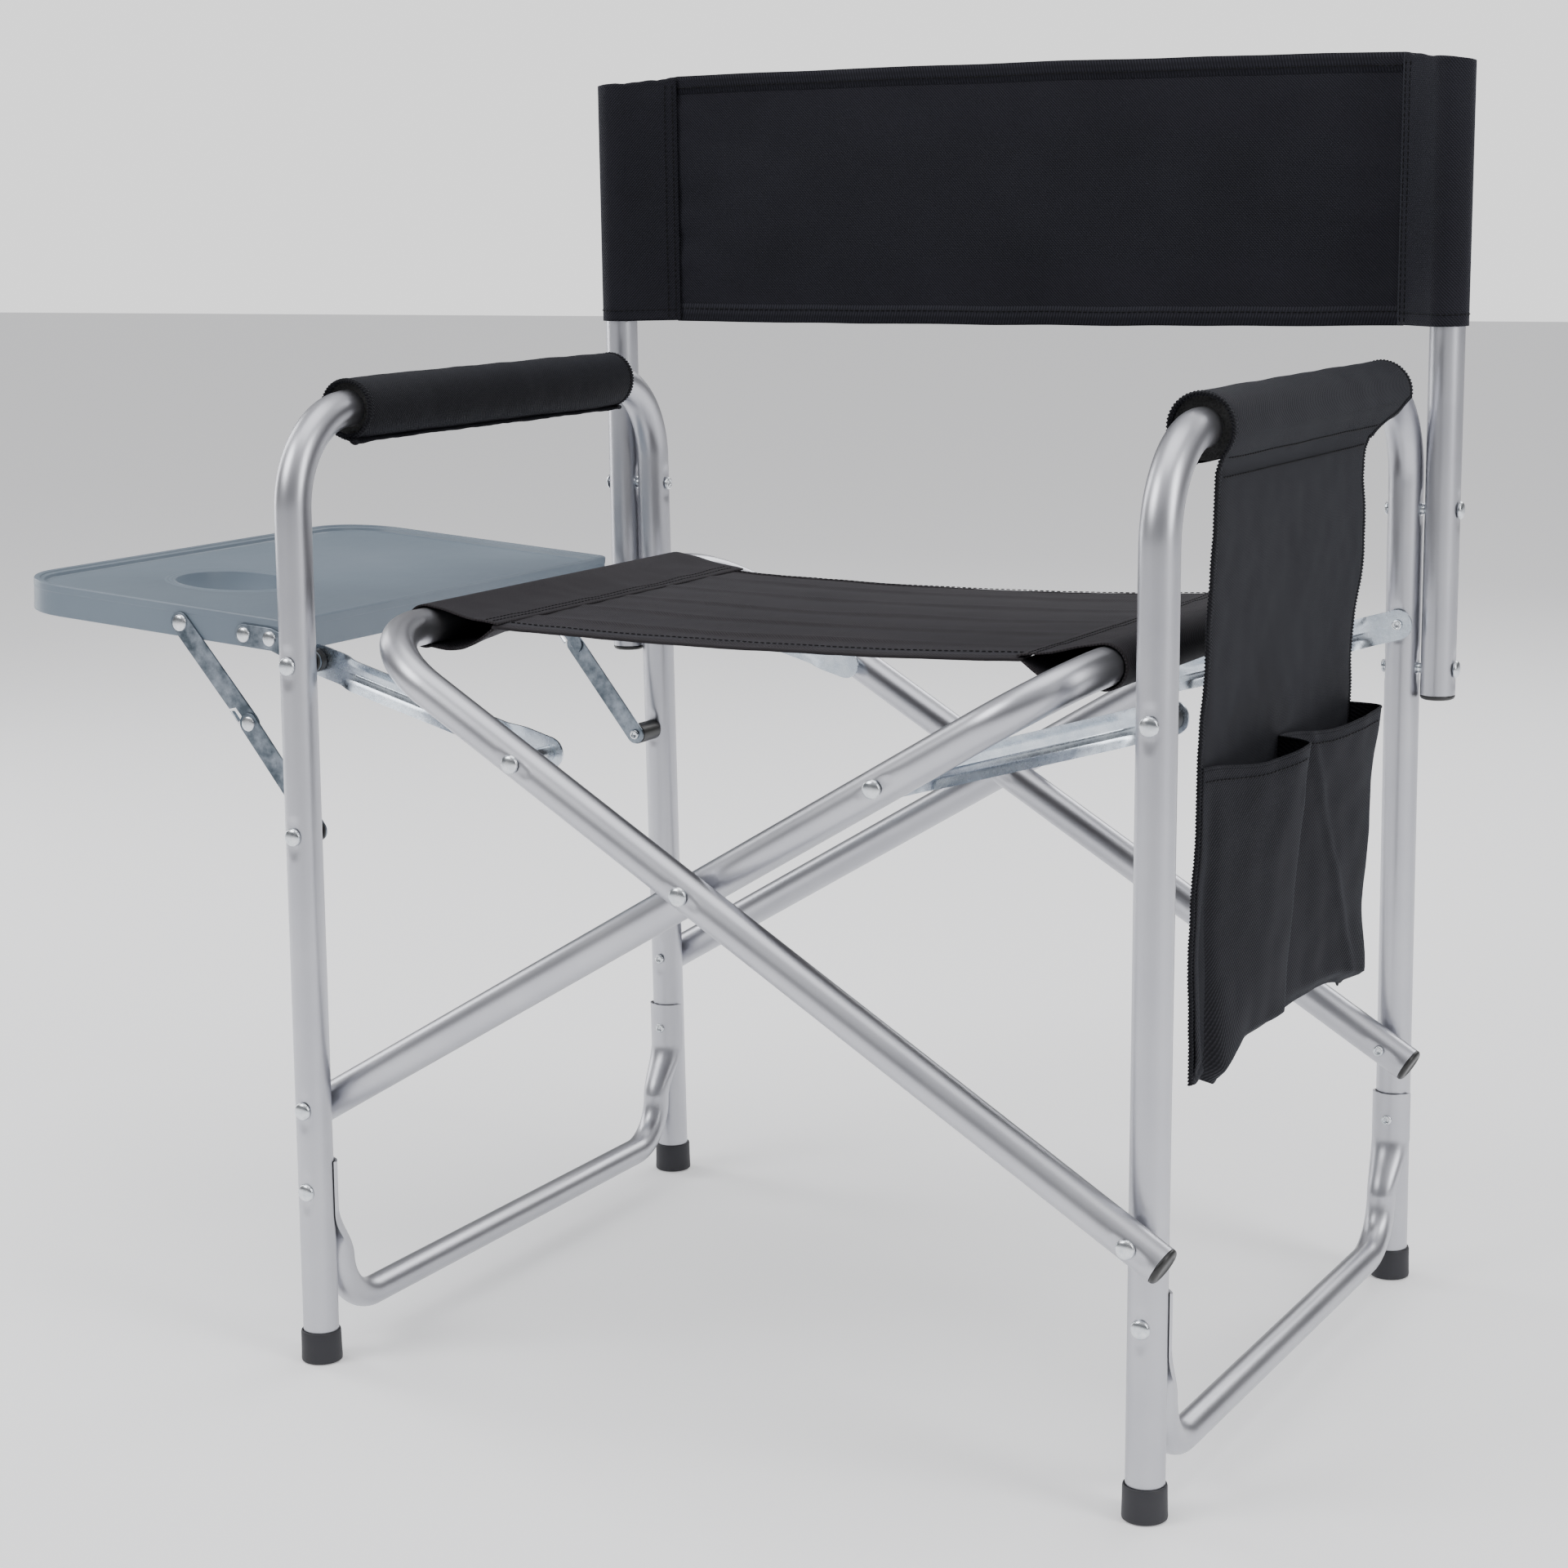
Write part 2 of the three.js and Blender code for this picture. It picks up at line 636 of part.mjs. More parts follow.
// Two-link folding brace from the leg to the table's end wall.
function tableBrace(end) {
  const wallY = end === FRONT ? TABLE_Y[0] : TABLE_Y[1];
  const layer = (n) => {
    const near = wallY + end * (GAP + n * (LINK_T + GAP));
    const far = near + end * LINK_T;
    return [Math.min(near, far), Math.max(near, far)];
  };
  const [upperY0, upperY1] = layer(0);
  const [lowerY0, lowerY1] = layer(1);
  const legPivot = [-HALF_W, BRACE_Z];
  const lower = barPlate(legPivot, BRACE_MID, LINK_HALF_WIDTH, lowerY0, lowerY1);
  const upper = barPlate(BRACE_MID, BRACE_TOP, LINK_HALF_WIDTH, upperY0, upperY1);
  const midY = (upperY0 + lowerY1) / 2;
  const midDrill = drillY(BRACE_MID[0], midY, BRACE_MID[1]);
  const legDrill = drillY(legPivot[0], midY, legPivot[1]);
  const front = endName[end];
  add(`${front}_lower_brace`, cut(lower, [midDrill, legDrill]), zincSteel);
  const head = domeHead(BRACE_TOP[0], BRACE_TOP[1], end === FRONT ? upperY0 : upperY1, end);
  add(`${front}_upper_brace`, join([cut(upper, [midDrill]), head]), zincSteel);

  const outerFace = end === FRONT ? lowerY0 : lowerY1;
  const innerFace = end === FRONT ? upperY1 : upperY0;
  const thickness = Math.abs(outerFace - innerFace);
  const pin = lathe([
    [0, 0],
    [SHAFT_R, 0],
    [SHAFT_R, thickness + GAP],
    [HEAD_R - 0.4, thickness + GAP],
    [HEAD_R - 0.4, thickness + GAP + 0.8],
    [0, thickness + GAP + 1.1],
  ], RIVET_FACETS);
  if (end === FRONT) {
    pin.rotateX(Math.PI);
  }
  const mesh = add(`${front}_brace_mid_rivet`, pin, zincSteel);
  mesh.position.set(BRACE_MID[0], innerFace, BRACE_MID[1]);

  const innerLower = end === FRONT ? lowerY1 : lowerY0;
  const headY = end * (legY(BRACE_Z) + TUBE_R + GAP);
  const legRivet = rivetAlongY(-HALF_W, BRACE_Z, innerLower - end * GAP, headY);
  add(`${front}_brace_rivet`, legRivet, zincSteel);
}

// ---------------------------------------------------------------- fabric

// Tunnel round a seat rail with a flap that runs to the seam.
function seatSleeve(tube) {
  const side = tubeSide[tube];
  const railZ = seatTubeZ(tube, side * SEAT_RAIL_X);
  const ring = discShape(SLEEVE_OUT_R, SLEEVE_IN_R);
  const tunnel = plateAlongY(ring, SEAT_Y[0], SEAT_Y[1], 8);
  tunnel.translate(side * SEAT_RAIL_X, 0, railZ);
  const flapEnds = [side * (SEAT_RAIL_X - SLEEVE_IN_R - 1), side * (SEAT_SEAM_X + GAP)];
  const flap = box(flapEnds.sort((p, q) => p - q), SEAT_Y, [SEAT_Z, SEAT_Z + CLOTH_T]);
  add(`${sideName[side]}_seat_sleeve`, join([tunnel, flap]), seatCloth);
}

function seatPanel() {
  const x = [-SEAT_SEAM_X, SEAT_SEAM_X];
  add('seat_panel', box(x, SEAT_Y, [SEAT_Z, SEAT_Z + CLOTH_T]), seatCloth);
}

// Drop-shaped sleeve round a back post, drawn out towards the seam.
function backSleeve(side) {
  const outline = (radius, tipX) => {
    const tip = new THREE.Vector2(side * tipX, BACK_Y);
    const centre = new THREE.Vector2(side * POST_X, POST_Y);
    const towards = Math.atan2(tip.y - centre.y, tip.x - centre.x);
    const open = Math.acos(radius / tip.distanceTo(centre));
    const shape = new THREE.Shape();
    shape.absarc(centre.x, centre.y, radius, towards + open, towards - open + 2 * Math.PI, false);
    shape.lineTo(tip.x, tip.y);
    return shape;
  };
  const outer = slab(outline(SLEEVE_OUT_R, BACK_FLAP_X), BACK_Z[0], BACK_Z[1], 8);
  const inner = slab(outline(SLEEVE_IN_R, BACK_FLAP_X + 4), BACK_Z[0] - 1, BACK_Z[1] + 1, 8);
  add(`${sideName[side]}_back_sleeve`, cut(outer, [inner]), backCloth);
}

function backPanel() {
  const x = [-BACK_FLAP_X + 1, BACK_FLAP_X - 1];
  const z = [BACK_Z[0], BACK_Z[1] + 8];
  add('back_panel', box(x, [BACK_Y, BACK_Y + CLOTH_T], z), backCloth);
}

function armPad(side) {
  const geometry = plateAlongY(discShape(PAD_R, SLEEVE_IN_R), PAD_Y[0], PAD_Y[1], 8);
  const mesh = add(`${sideName[side]}_arm_pad`, geometry, bagCloth);
  mesh.position.set(side * HALF_W, 0, ARM_Z);
}

// Cloth panel hanging under the right arm, with two pockets on its outer face, open at the top.
function organizer() {
  const outline = polygon([
    [-155, BAG_TOP_Z],
    [-158, 520],
    [-160, 440],
    [BAG_Y[0], BAG_BOTTOM_Z],
    [BAG_Y[1], BAG_BOTTOM_Z],
    [86, 425],
    [97, 490],
    [92, 545],
    [104, BAG_TOP_Z],
  ]);
  const panel = new THREE.ExtrudeGeometry(outline, { depth: CLOTH_T, bevelEnabled: false });
  panel.applyMatrix4(new THREE.Matrix4().set(
    0, 0, 1, BAG_X,
    1, 0, 0, 0,
    0, 1, 0, 0,
    0, 0, 0, 1,
  ));
  const base = BAG_X + CLOTH_T;
  const pocket = ([y0, y1, bulge], wall) => {
    const middle = (y0 + y1) / 2;
    const half = (y1 - y0) / 2 - wall;
    const back = wall > 0 ? base : base - 1;
    const side = base + (bulge - wall) * 0.6;
    const crown = base + (bulge - wall) * 1.25;
    const shape = new THREE.Shape();
    shape.moveTo(back, middle - half);
    shape.lineTo(side, middle - half);
    shape.quadraticCurveTo(crown, middle, side, middle + half);
    shape.lineTo(back, middle + half);
    return shape;
  };
  const [low, high] = POCKET_Z;
  const bodies = POCKETS.map((size) => slab(pocket(size, 0), low, high));
  const insides = POCKETS.map((size) => slab(pocket(size, CLOTH_T), low + CLOTH_T, high + 1));
  add('organizer', cut(join([panel, ...bodies]), insides), bagCloth);
}

// ---------------------------------------------------------------- assembly

[LEFT, RIGHT].forEach((side) => {
  armFrame(side);
  lowerRail(side);
  backPost(side);
  armPad(side);
  backSleeve(side);
  [FRONT, REAR].forEach((end) => {
    foot(side, end);
    seatStrut(side, end);
    strutRivet(side, end);
  });
});

['a', 'b'].forEach((tube) => {
  seatTube(tube);
  seatSleeve(tube);
});

[FRONT, REAR].forEach((end) => {
  scissorRivets(end);
  tableStrip(end);
  tableBrace(end);
});

tray();
seatPanel();
backPanel();
organizer();

export default chair;
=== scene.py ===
"""Folding director chair: smooth tubes, sewn cloth, a moulded side table and pressed-steel links.

Shapes are given in millimetres in the chair's own frame: x is 0 midway between the arm frames
and grows towards the organizer, the front faces -y, and z is up from the floor.
"""

import math

import bmesh
import bpy
import numpy as np
from mathutils import Matrix, Vector, noise


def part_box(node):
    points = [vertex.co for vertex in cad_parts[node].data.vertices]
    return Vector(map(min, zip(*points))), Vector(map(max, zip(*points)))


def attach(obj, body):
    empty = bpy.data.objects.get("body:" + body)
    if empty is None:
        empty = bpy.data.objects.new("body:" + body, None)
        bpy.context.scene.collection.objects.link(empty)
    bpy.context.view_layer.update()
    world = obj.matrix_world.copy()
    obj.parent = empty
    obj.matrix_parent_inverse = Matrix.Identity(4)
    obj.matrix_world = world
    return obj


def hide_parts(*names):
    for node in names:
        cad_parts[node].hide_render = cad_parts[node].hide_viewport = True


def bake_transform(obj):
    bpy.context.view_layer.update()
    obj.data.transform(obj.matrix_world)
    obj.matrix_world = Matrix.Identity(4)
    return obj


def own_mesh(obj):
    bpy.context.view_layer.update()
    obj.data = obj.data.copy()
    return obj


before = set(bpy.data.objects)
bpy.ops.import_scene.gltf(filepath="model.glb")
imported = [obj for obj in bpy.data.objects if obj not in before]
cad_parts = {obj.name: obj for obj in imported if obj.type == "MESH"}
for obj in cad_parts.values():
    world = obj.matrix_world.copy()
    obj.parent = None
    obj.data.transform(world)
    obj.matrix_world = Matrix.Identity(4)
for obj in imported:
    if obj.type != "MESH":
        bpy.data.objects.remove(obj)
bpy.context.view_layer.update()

MM = 0.001
FRONT, REAR = -1, 1
LEFT, RIGHT = -1, 1
ENDS = {"front": FRONT, "rear": REAR}
SIDES = {"left": LEFT, "right": RIGHT}
FRAME_OF = {"left": "left_frame", "right": "right_frame"}

# The chair's middle in the row frame, halfway between the two arm frames.
arm_boxes = [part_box(f"{side}_arm_frame") for side in SIDES]
MIDDLE_X = sum((low.x + high.x) / 2 for low, high in arm_boxes) / 2 / MM

# Driving dimensions, the same as the CAD's.
TUBE_R, RAIL_R = 11.0, 9.25
HALF_W = 272.8
FLOOR_LEG_Y, LEG_LEAN = 218.8, 0.0148
ARM_Z, ARM_BEND_R = 582.0, 58.0
STRUT_Z, BRACE_Z, SCISSOR_Z, RAIL_RIVET_Z = 434.3, 331.2, 161.4, 109.7
CROSS_Z, SEAT_RAIL_X, SEAT_BEND_R = 322.7, 220.0, 55.0
TUBE_PITCH, CROSS_Y, TUBE_OVERRUN, STRUT_X = 22.6, 11.4, 16.0, 111.6
POST_X, POST_Y, POST_BOTTOM_Z, POST_TOP_Z = HALF_W + 23.5, 212.0, 390.0, 773.0
POST_BOLT_ZS = (506.3, 406.3)
RAIL_Z, RAIL_END_Y, RAIL_BEND_R, SADDLE_TOP_Z = 27.0, 196.5, 34.0, 127.0
STRUT_T, STRUT_Y, RIGHT_REAR_STRUT_Y = 1.5, 190.5, 199.3
TABLE_X, TABLE_Z, TABLE_TILT, TABLE_WIDTH = -290.0, 457.5, 0.0779, 221.0
TABLE_Y = (-197.2, 175.6)
CUP_X, CUP_Y, CUP_R = -418.0, -82.0, 37.5
BRACE_MID, BRACE_TOP = (-321.0, 393.3), (-371.2, 452.5)
SEAT_Y, SEAT_SEAM_X, SEAT_Z = (-155.0, 150.0), 172.0, 455.2
BACK_SEAM_X, BACK_Y = 259.0, 232.0
PAD_Y, PAD_R = (-152.0, 155.0), 18.5
TUBE_WALL, TUBE_SIDES, BORE_SHOWN, TUBE_END_Z = 1.2, 36, 25, 4.6
DIMPLE_DEPTH, CROSS_MIDDLE_Y = 0.75, 215.6
HEAD_R, HEAD_H, TAIL_R, TAIL_H = 5.5, 2.6, 3.4, 1.6
LINK_HALF, LINK_T, LINK_PITCH = 6.6, 1.4, 1.7
STRIP_SPOTS = ((-322.9, 447.7), (-303.6, 446.2))


# ---------------------------------------------------------------- camera, light and stage

def place_camera():
    """The camera stands in front of the organizer side, a little above the seat."""
    azimuth, tilt, roll = math.radians(28.24), math.radians(11.44), math.radians(-0.81)
    right = Vector((math.cos(azimuth), math.sin(azimuth), 0))
    ahead = Vector((-math.sin(azimuth) * math.cos(tilt), math.cos(azimuth) * math.cos(tilt), -math.sin(tilt)))
    up = right.cross(ahead)
    x_axis = right * math.cos(roll) + up * math.sin(roll)
    y_axis = up * math.cos(roll) - right * math.sin(roll)
    data = bpy.data.cameras.new("camera")
    data.lens, data.sensor_width = 72.68, 36.0
    data.shift_x, data.shift_y = 0.0061, 0.0333
    data.clip_start, data.clip_end = 0.05, 100
    camera = bpy.data.objects.new("camera", data)
    bpy.context.scene.collection.objects.link(camera)
    turned = Matrix((x_axis, y_axis, -ahead)).transposed().to_4x4()
    camera.matrix_world = Matrix.Translation(metres((861.1, -1726.7, 704.2))) @ turned
    bpy.context.scene.camera = camera


def metres(point):
    """A point of the chair's own frame in the row frame."""
    return Vector(((point[0] + MIDDLE_X) * MM, point[1] * MM, point[2] * MM))


def add_light(name, place, aim, size, watts):
    data = bpy.data.lights.new(name, "AREA")
    data.shape, data.size, data.size_y = "RECTANGLE", size[0], size[1]
    data.energy = watts
    light = bpy.data.objects.new(name, data)
    bpy.context.scene.collection.objects.link(light)
    light.location = place
    light.rotation_euler = (Vector(aim) - Vector(place)).to_track_quat("-Z", "Y").to_euler()


def build_stage():
    """A pale floor, a white sky with a darker band low down, and soft boxes."""
    bpy.ops.mesh.primitive_plane_add(size=30, location=(0, 0, -0.0005))
    floor = bpy.context.object
    floor.name = "floor"
    paint = bpy.data.materials.new("pale_floor")
    paint.use_nodes = True
    shader = paint.node_tree.nodes["Principled BSDF"]
    shader.inputs["Base Color"].default_value = (0.93, 0.93, 0.94, 1)
    shader.inputs["Roughness"].default_value = 0.9
    shader.inputs["Specular IOR Level"].default_value = 0.1
    shader.inputs["Emission Color"].default_value = (1, 1, 1, 1)
    shader.inputs["Emission Strength"].default_value = 0.25
    floor.data.materials.append(paint)

    world = bpy.data.worlds.new("studio")
    bpy.context.scene.world = world
    world.use_nodes = True
    tree = world.node_tree
    tree.nodes.clear()
    output = tree.nodes.new("ShaderNodeOutputWorld")
    background = tree.nodes.new("ShaderNodeBackground")
    ramp = tree.nodes.new("ShaderNodeValToRGB")
    split = tree.nodes.new("ShaderNodeSeparateXYZ")
    coordinates = tree.nodes.new("ShaderNodeTexCoord")
    stops = ((0.0, 0.50), (0.49, 0.50), (0.53, 0.30), (0.60, 0.13), (0.70, 0.40), (0.85, 1.0), (1.0, 1.0))
    elements = ramp.color_ramp.elements
    for i, (place, level) in enumerate(stops):
        element = elements[i] if i < 2 else elements.new(place)
        element.position = place
        element.color = (level, level, level * 1.02, 1)
    half = tree.nodes.new("ShaderNodeMath")
    half.operation = "MULTIPLY_ADD"
    half.inputs[1].default_value, half.inputs[2].default_value = 0.5, 0.5
    tree.links.new(coordinates.outputs["Generated"], split.inputs[0])
    tree.links.new(split.outputs["Z"], half.inputs[0])
    tree.links.new(half.outputs[0], ramp.inputs[0])
    tree.links.new(ramp.outputs[0], background.inputs["Color"])
    white = tree.nodes.new("ShaderNodeBackground")
    white.inputs["Color"].default_value = (1, 1, 1, 1)
    white.inputs["Strength"].default_value = 1.5
    choice = tree.nodes.new("ShaderNodeMixShader")
    rays = tree.nodes.new("ShaderNodeLightPath")
    tree.links.new(rays.outputs["Is Camera Ray"], choice.inputs[0])
    tree.links.new(background.outputs[0], choice.inputs[1])
    tree.links.new(white.outputs[0], choice.inputs[2])
    tree.links.new(choice.outputs[0], output.inputs["Surface"])
    background.inputs["Strength"].default_value = 0.72

    aim = (0.1, 0, 0.4)
    add_light("key_box", (-1.6, -2.2, 2.6), aim, (1.6, 1.6), 55)
    add_light("side_box", (2.6, -0.6, 1.7), aim, (0.9, 2.0), 38)
    add_light("left_box", (-2.6, 0.4, 1.2), aim, (0.8, 2.0), 26)
    add_light("back_box", (0.4, 2.6, 2.0), aim, (2.0, 1.0), 30)
    add_light("top_box", (0.1, -0.2, 3.0), aim, (2.2, 2.2), 30)


# ---------------------------------------------------------------- materials

class Nodes:
    """A material's node tree with short calls to add and join nodes."""

    def __init__(self, name):
        self.material = bpy.data.materials.new(name)
        self.material.use_nodes = True
        self.tree = self.material.node_tree
        self.shader = self.tree.nodes["Principled BSDF"]

    def add(self, kind, **values):
        node = self.tree.nodes.new("ShaderNode" + kind)
        for key, value in values.items():
            if hasattr(node, key):
                setattr(node, key, value)
            else:
                node.inputs[key.replace("_", " ")].default_value = value
        return node

    def join(self, output, target):
        self.tree.links.new(output, target)

    def set(self, **values):
        for key, value in values.items():
            self.shader.inputs[key.replace("_", " ")].default_value = value

    def noise(self, vector, scale, detail=3.0, roughness=0.5):
        node = self.add("TexNoise", Scale=scale, Detail=detail, Roughness=roughness)
        self.join(vector, node.inputs["Vector"])
        return node.outputs["Fac"]

    def stretched(self, vector, x, y, z):
        node = self.add("Mapping")
        node.inputs["Scale"].default_value = (x, y, z)
        self.join(vector, node.inputs["Vector"])
        return node.outputs["Vector"]

    def ramp(self, value, *stops):
        node = self.add("ValToRGB")
        elements = node.color_ramp.elements
        for i, (place, colour) in enumerate(stops):
            element = elements[i] if i < 2 else elements.new(place)
            element.position = place
            element.color = (*colour, 1)
        self.join(value, node.inputs[0])
        return node.outputs["Color"]

    def maths(self, operation, a, b):
        node = self.add("Math", operation=operation)
        for value, target in ((a, node.inputs[0]), (b, node.inputs[1])):
            if isinstance(value, (int, float)):
                target.default_value = value
            else:
                self.join(value, target)
        return node.outputs[0]

    def between(self, value, low, high):
        node = self.add("MapRange")
        node.inputs["To Min"].default_value = low
        node.inputs["To Max"].default_value = high
        self.join(value, node.inputs["Value"])
        return node.outputs["Result"]

    def bump(self, height, strength, distance, normal=None):
        node = self.add("Bump", Strength=strength, Distance=distance)
        self.join(height, node.inputs["Height"])
        if normal is not None:
            self.join(normal, node.inputs["Normal"])
        return node.outputs["Normal"]


def grey(value):
    return (value, value, value)


def flat_vector(nodes):
    """The place on the flat cloth or along the tube, in metres, kept as a mesh attribute."""
    return nodes.add("Attribute", attribute_name="flat").outputs["Vector"]


def object_vector(nodes):
    return nodes.add("TexCoord").outputs["Object"]


def aluminium_material():
    """Satin anodised tube: fine lines along the tube, soft clouding and a few small scuffs."""
    nodes = Nodes("satin_aluminium")
    along = flat_vector(nodes)
    place = object_vector(nodes)
    lines = nodes.noise(nodes.stretched(along, 14, 2600, 1), 1.0, 4.0)
    cloud = nodes.noise(place, 22, 4.0)
    scuffs = nodes.noise(nodes.stretched(place, 300, 300, 120), 1.0, 6.0, 0.7)
    tint = nodes.ramp(cloud, (0.3, (0.49, 0.495, 0.535)), (0.7, (0.54, 0.545, 0.58)))
    dull = nodes.ramp(scuffs, (0.72, grey(1.0)), (0.80, grey(0.86)))
    mixed = nodes.add("Mix", data_type="RGBA", blend_type="MULTIPLY")
    mixed.inputs["Factor"].default_value = 0.5
    nodes.join(tint, mixed.inputs["A"])
    nodes.join(dull, mixed.inputs["B"])
    nodes.join(mixed.outputs["Result"], nodes.shader.inputs["Base Color"])
    rough = nodes.maths("ADD", nodes.between(cloud, 0.33, 0.39), nodes.between(lines, -0.02, 0.03))
    nodes.join(rough, nodes.shader.inputs["Roughness"])
    normal = nodes.bump(lines, 0.05, 0.00006)
    nodes.join(nodes.bump(scuffs, 0.03, 0.00012, normal), nodes.shader.inputs["Normal"])
    nodes.set(Metallic=1.0)
    return nodes.material


def zinc_material(name, light, dark, roughness):
    """Zinc plate: crystal spangle, blue-grey clouding and fine handling scratches."""
    nodes = Nodes(name)
    place = object_vector(nodes)
    spangle = nodes.add("TexVoronoi", Scale=420.0, feature="F1")
    nodes.join(place, spangle.inputs["Vector"])
    cloud = nodes.noise(place, 95, 5.0, 0.62)
    patch = nodes.noise(place, 30, 3.0)
    scratch = nodes.noise(nodes.stretched(place, 900, 60, 260), 1.0, 3.0)
    mottled = nodes.maths("ADD", nodes.maths("MULTIPLY", cloud, 0.7), nodes.maths("MULTIPLY", patch, 0.3))
    middle = tuple((a + b) / 2 for a, b in zip(light, dark))
    tint = nodes.ramp(mottled, (0.40, dark), (0.52, middle), (0.64, light))
    nodes.join(tint, nodes.shader.inputs["Base Color"])
    rough = nodes.maths("ADD", nodes.between(cloud, roughness - 0.06, roughness + 0.12),
                        nodes.maths("MULTIPLY", spangle.outputs["Distance"], 0.08))
    nodes.join(rough, nodes.shader.inputs["Roughness"])
    normal = nodes.bump(spangle.outputs["Distance"], 0.06, 0.0002)
    nodes.join(nodes.bump(scratch, 0.07, 0.0001, normal), nodes.shader.inputs["Normal"])
    nodes.set(Metallic=1.0)
    return nodes.material


def rivet_material():
    """Bright aluminium rivet: soft clouding and a light turned grain."""
    nodes = Nodes("bright_rivet")
    place = object_vector(nodes)
    cloud = nodes.noise(place, 260, 4.0)
    nodes.join(nodes.ramp(cloud, (0.3, (0.58, 0.62, 0.66)), (0.7, (0.80, 0.82, 0.84))),
               nodes.shader.inputs["Base Color"])
    nodes.join(nodes.between(cloud, 0.16, 0.34), nodes.shader.inputs["Roughness"])
    nodes.join(nodes.bump(nodes.noise(place, 1500, 2.0), 0.05, 0.0001), nodes.shader.inputs["Normal"])
    nodes.set(Metallic=1.0)
    return nodes.material


def plastic_material(name, low, high, roughness, grain, bump, level=0.5):
    """Moulded plastic: slight colour drift and a fine eroded grain."""
    nodes = Nodes(name)
    place = object_vector(nodes)
    drift = nodes.noise(place, 9, 3.0)
    fine = nodes.noise(place, grain, 4.0, 0.65)
    wear = nodes.noise(nodes.stretched(place, 60, 26, 60), 1.0, 6.0, 0.7)
    nodes.join(nodes.ramp(drift, (0.3, low), (0.7, high)), nodes.shader.inputs["Base Color"])
    rough = nodes.maths("ADD", nodes.between(fine, roughness - 0.05, roughness + 0.07),
                        nodes.between(wear, -0.05, 0.06))
    nodes.join(rough, nodes.shader.inputs["Roughness"])
    nodes.join(nodes.bump(fine, bump, 0.00015), nodes.shader.inputs["Normal"])
    nodes.set(Specular_IOR_Level=level)
    return nodes.material


def fabric_material(name, dark, light, twill_pitch=0.0014, lean=1.0, sheen=0.07):
    """Polyester twill: diagonal ribs crossed by yarns, fuzz, cloudy wear and a soft sheen."""
    nodes = Nodes(name)
    flat = flat_vector(nodes)
    place = object_vector(nodes)
    split = nodes.add("SeparateXYZ")
    nodes.join(flat, split.inputs[0])
    across, along = split.outputs["X"], split.outputs["Y"]
    wobble = nodes.between(nodes.noise(flat, 260, 2.0), -0.00012, 0.00012)
    diagonal = nodes.maths("ADD", nodes.maths("MULTIPLY", across, lean), along)
    diagonal = nodes.maths("ADD", diagonal, wobble)
    turns = 2 * math.pi / (twill_pitch * math.sqrt(2))
    rib = nodes.maths("SINE", nodes.maths("MULTIPLY", diagonal, turns), 0.0)
    yarn = nodes.maths("SINE", nodes.maths("MULTIPLY", along, turns * 1.7), 0.0)
    weave = nodes.maths("ADD", rib, nodes.maths("MULTIPLY", yarn, 0.35))
    fuzz = nodes.noise(flat, 2300, 3.0, 0.7)
    cloud = nodes.noise(place, 14, 4.0, 0.6)
    tone = nodes.maths("ADD", nodes.between(weave, 0.22, 0.78), nodes.between(fuzz, -0.24, 0.24))
    tone = nodes.maths("ADD", tone, nodes.between(cloud, -0.16, 0.16))
    nodes.join(nodes.ramp(tone, (0.05, dark), (0.95, light)), nodes.shader.inputs["Base Color"])
    nodes.join(nodes.between(fuzz, 0.70, 0.92), nodes.shader.inputs["Roughness"])
    normal = nodes.bump(weave, 0.55, 0.0002)
    nodes.join(nodes.bump(fuzz, 0.30, 0.00018, normal), nodes.shader.inputs["Normal"])
    nodes.set(Sheen_Weight=sheen, Sheen_Roughness=0.45, Sheen_Tint=(0.62, 0.66, 0.80, 1),
              Specular_IOR_Level=0.16)
    return nodes.material


def thread_material():
    nodes = Nodes("black_thread")
    flat = flat_vector(nodes)
    twist = nodes.noise(nodes.stretched(flat, 900, 2600, 1), 1.0, 2.0)
    nodes.join(nodes.ramp(twist, (0.3, grey(0.002)), (0.7, (0.009, 0.009, 0.011))),
               nodes.shader.inputs["Base Color"])
    nodes.join(nodes.bump(twist, 0.4, 0.0002), nodes.shader.inputs["Normal"])
    nodes.set(Roughness=0.7, Specular_IOR_Level=0.15)
    return nodes.material


def foam_material():
    nodes = Nodes("dark_foam")
    place = object_vector(nodes)
    cells = nodes.add("TexVoronoi", Scale=900.0)
    nodes.join(place, cells.inputs["Vector"])
    nodes.join(nodes.ramp(cells.outputs["Distance"], (0.1, grey(0.005)), (0.8, grey(0.022))),
               nodes.shader.inputs["Base Color"])
    nodes.join(nodes.bump(cells.outputs["Distance"], 0.5, 0.0004), nodes.shader.inputs["Normal"])
    nodes.set(Roughness=0.95)
    return nodes.material


# ---------------------------------------------------------------- making meshes

def make_mesh(name, points, faces, material, flat=None):
    """A mesh object from chair-frame points in millimetres."""
    mesh = bpy.data.meshes.new(name)
    co = np.asarray(points, float) * MM
    co[:, 0] += MIDDLE_X * MM
    mesh.from_pydata(co.tolist(), [], faces)
    mesh.materials.append(material)
    if flat is not None:
        attribute = mesh.attributes.new("flat", "FLOAT_VECTOR", "POINT")
        attribute.data.foreach_set("vector", (np.asarray(flat, float) * MM).astype(np.float32).ravel())
    mesh.validate()
    mesh.update()
    obj = bpy.data.objects.new(name, mesh)
    bpy.context.scene.collection.objects.link(obj)
    mesh.shade_smooth()
    return obj


def face_outwards(obj):
    """Turns a closed mesh's faces to point out."""
    builder = bmesh.new()
    builder.from_mesh(obj.data)
    bmesh.ops.recalc_face_normals(builder, faces=builder.faces)
    builder.to_mesh(obj.data)
    builder.free()
    return obj


def sharpen(obj, degrees=35):
    """Keeps edges sharper than this angle crisp."""
    obj.data.set_sharp_from_angle(angle=math.radians(degrees))
    return obj


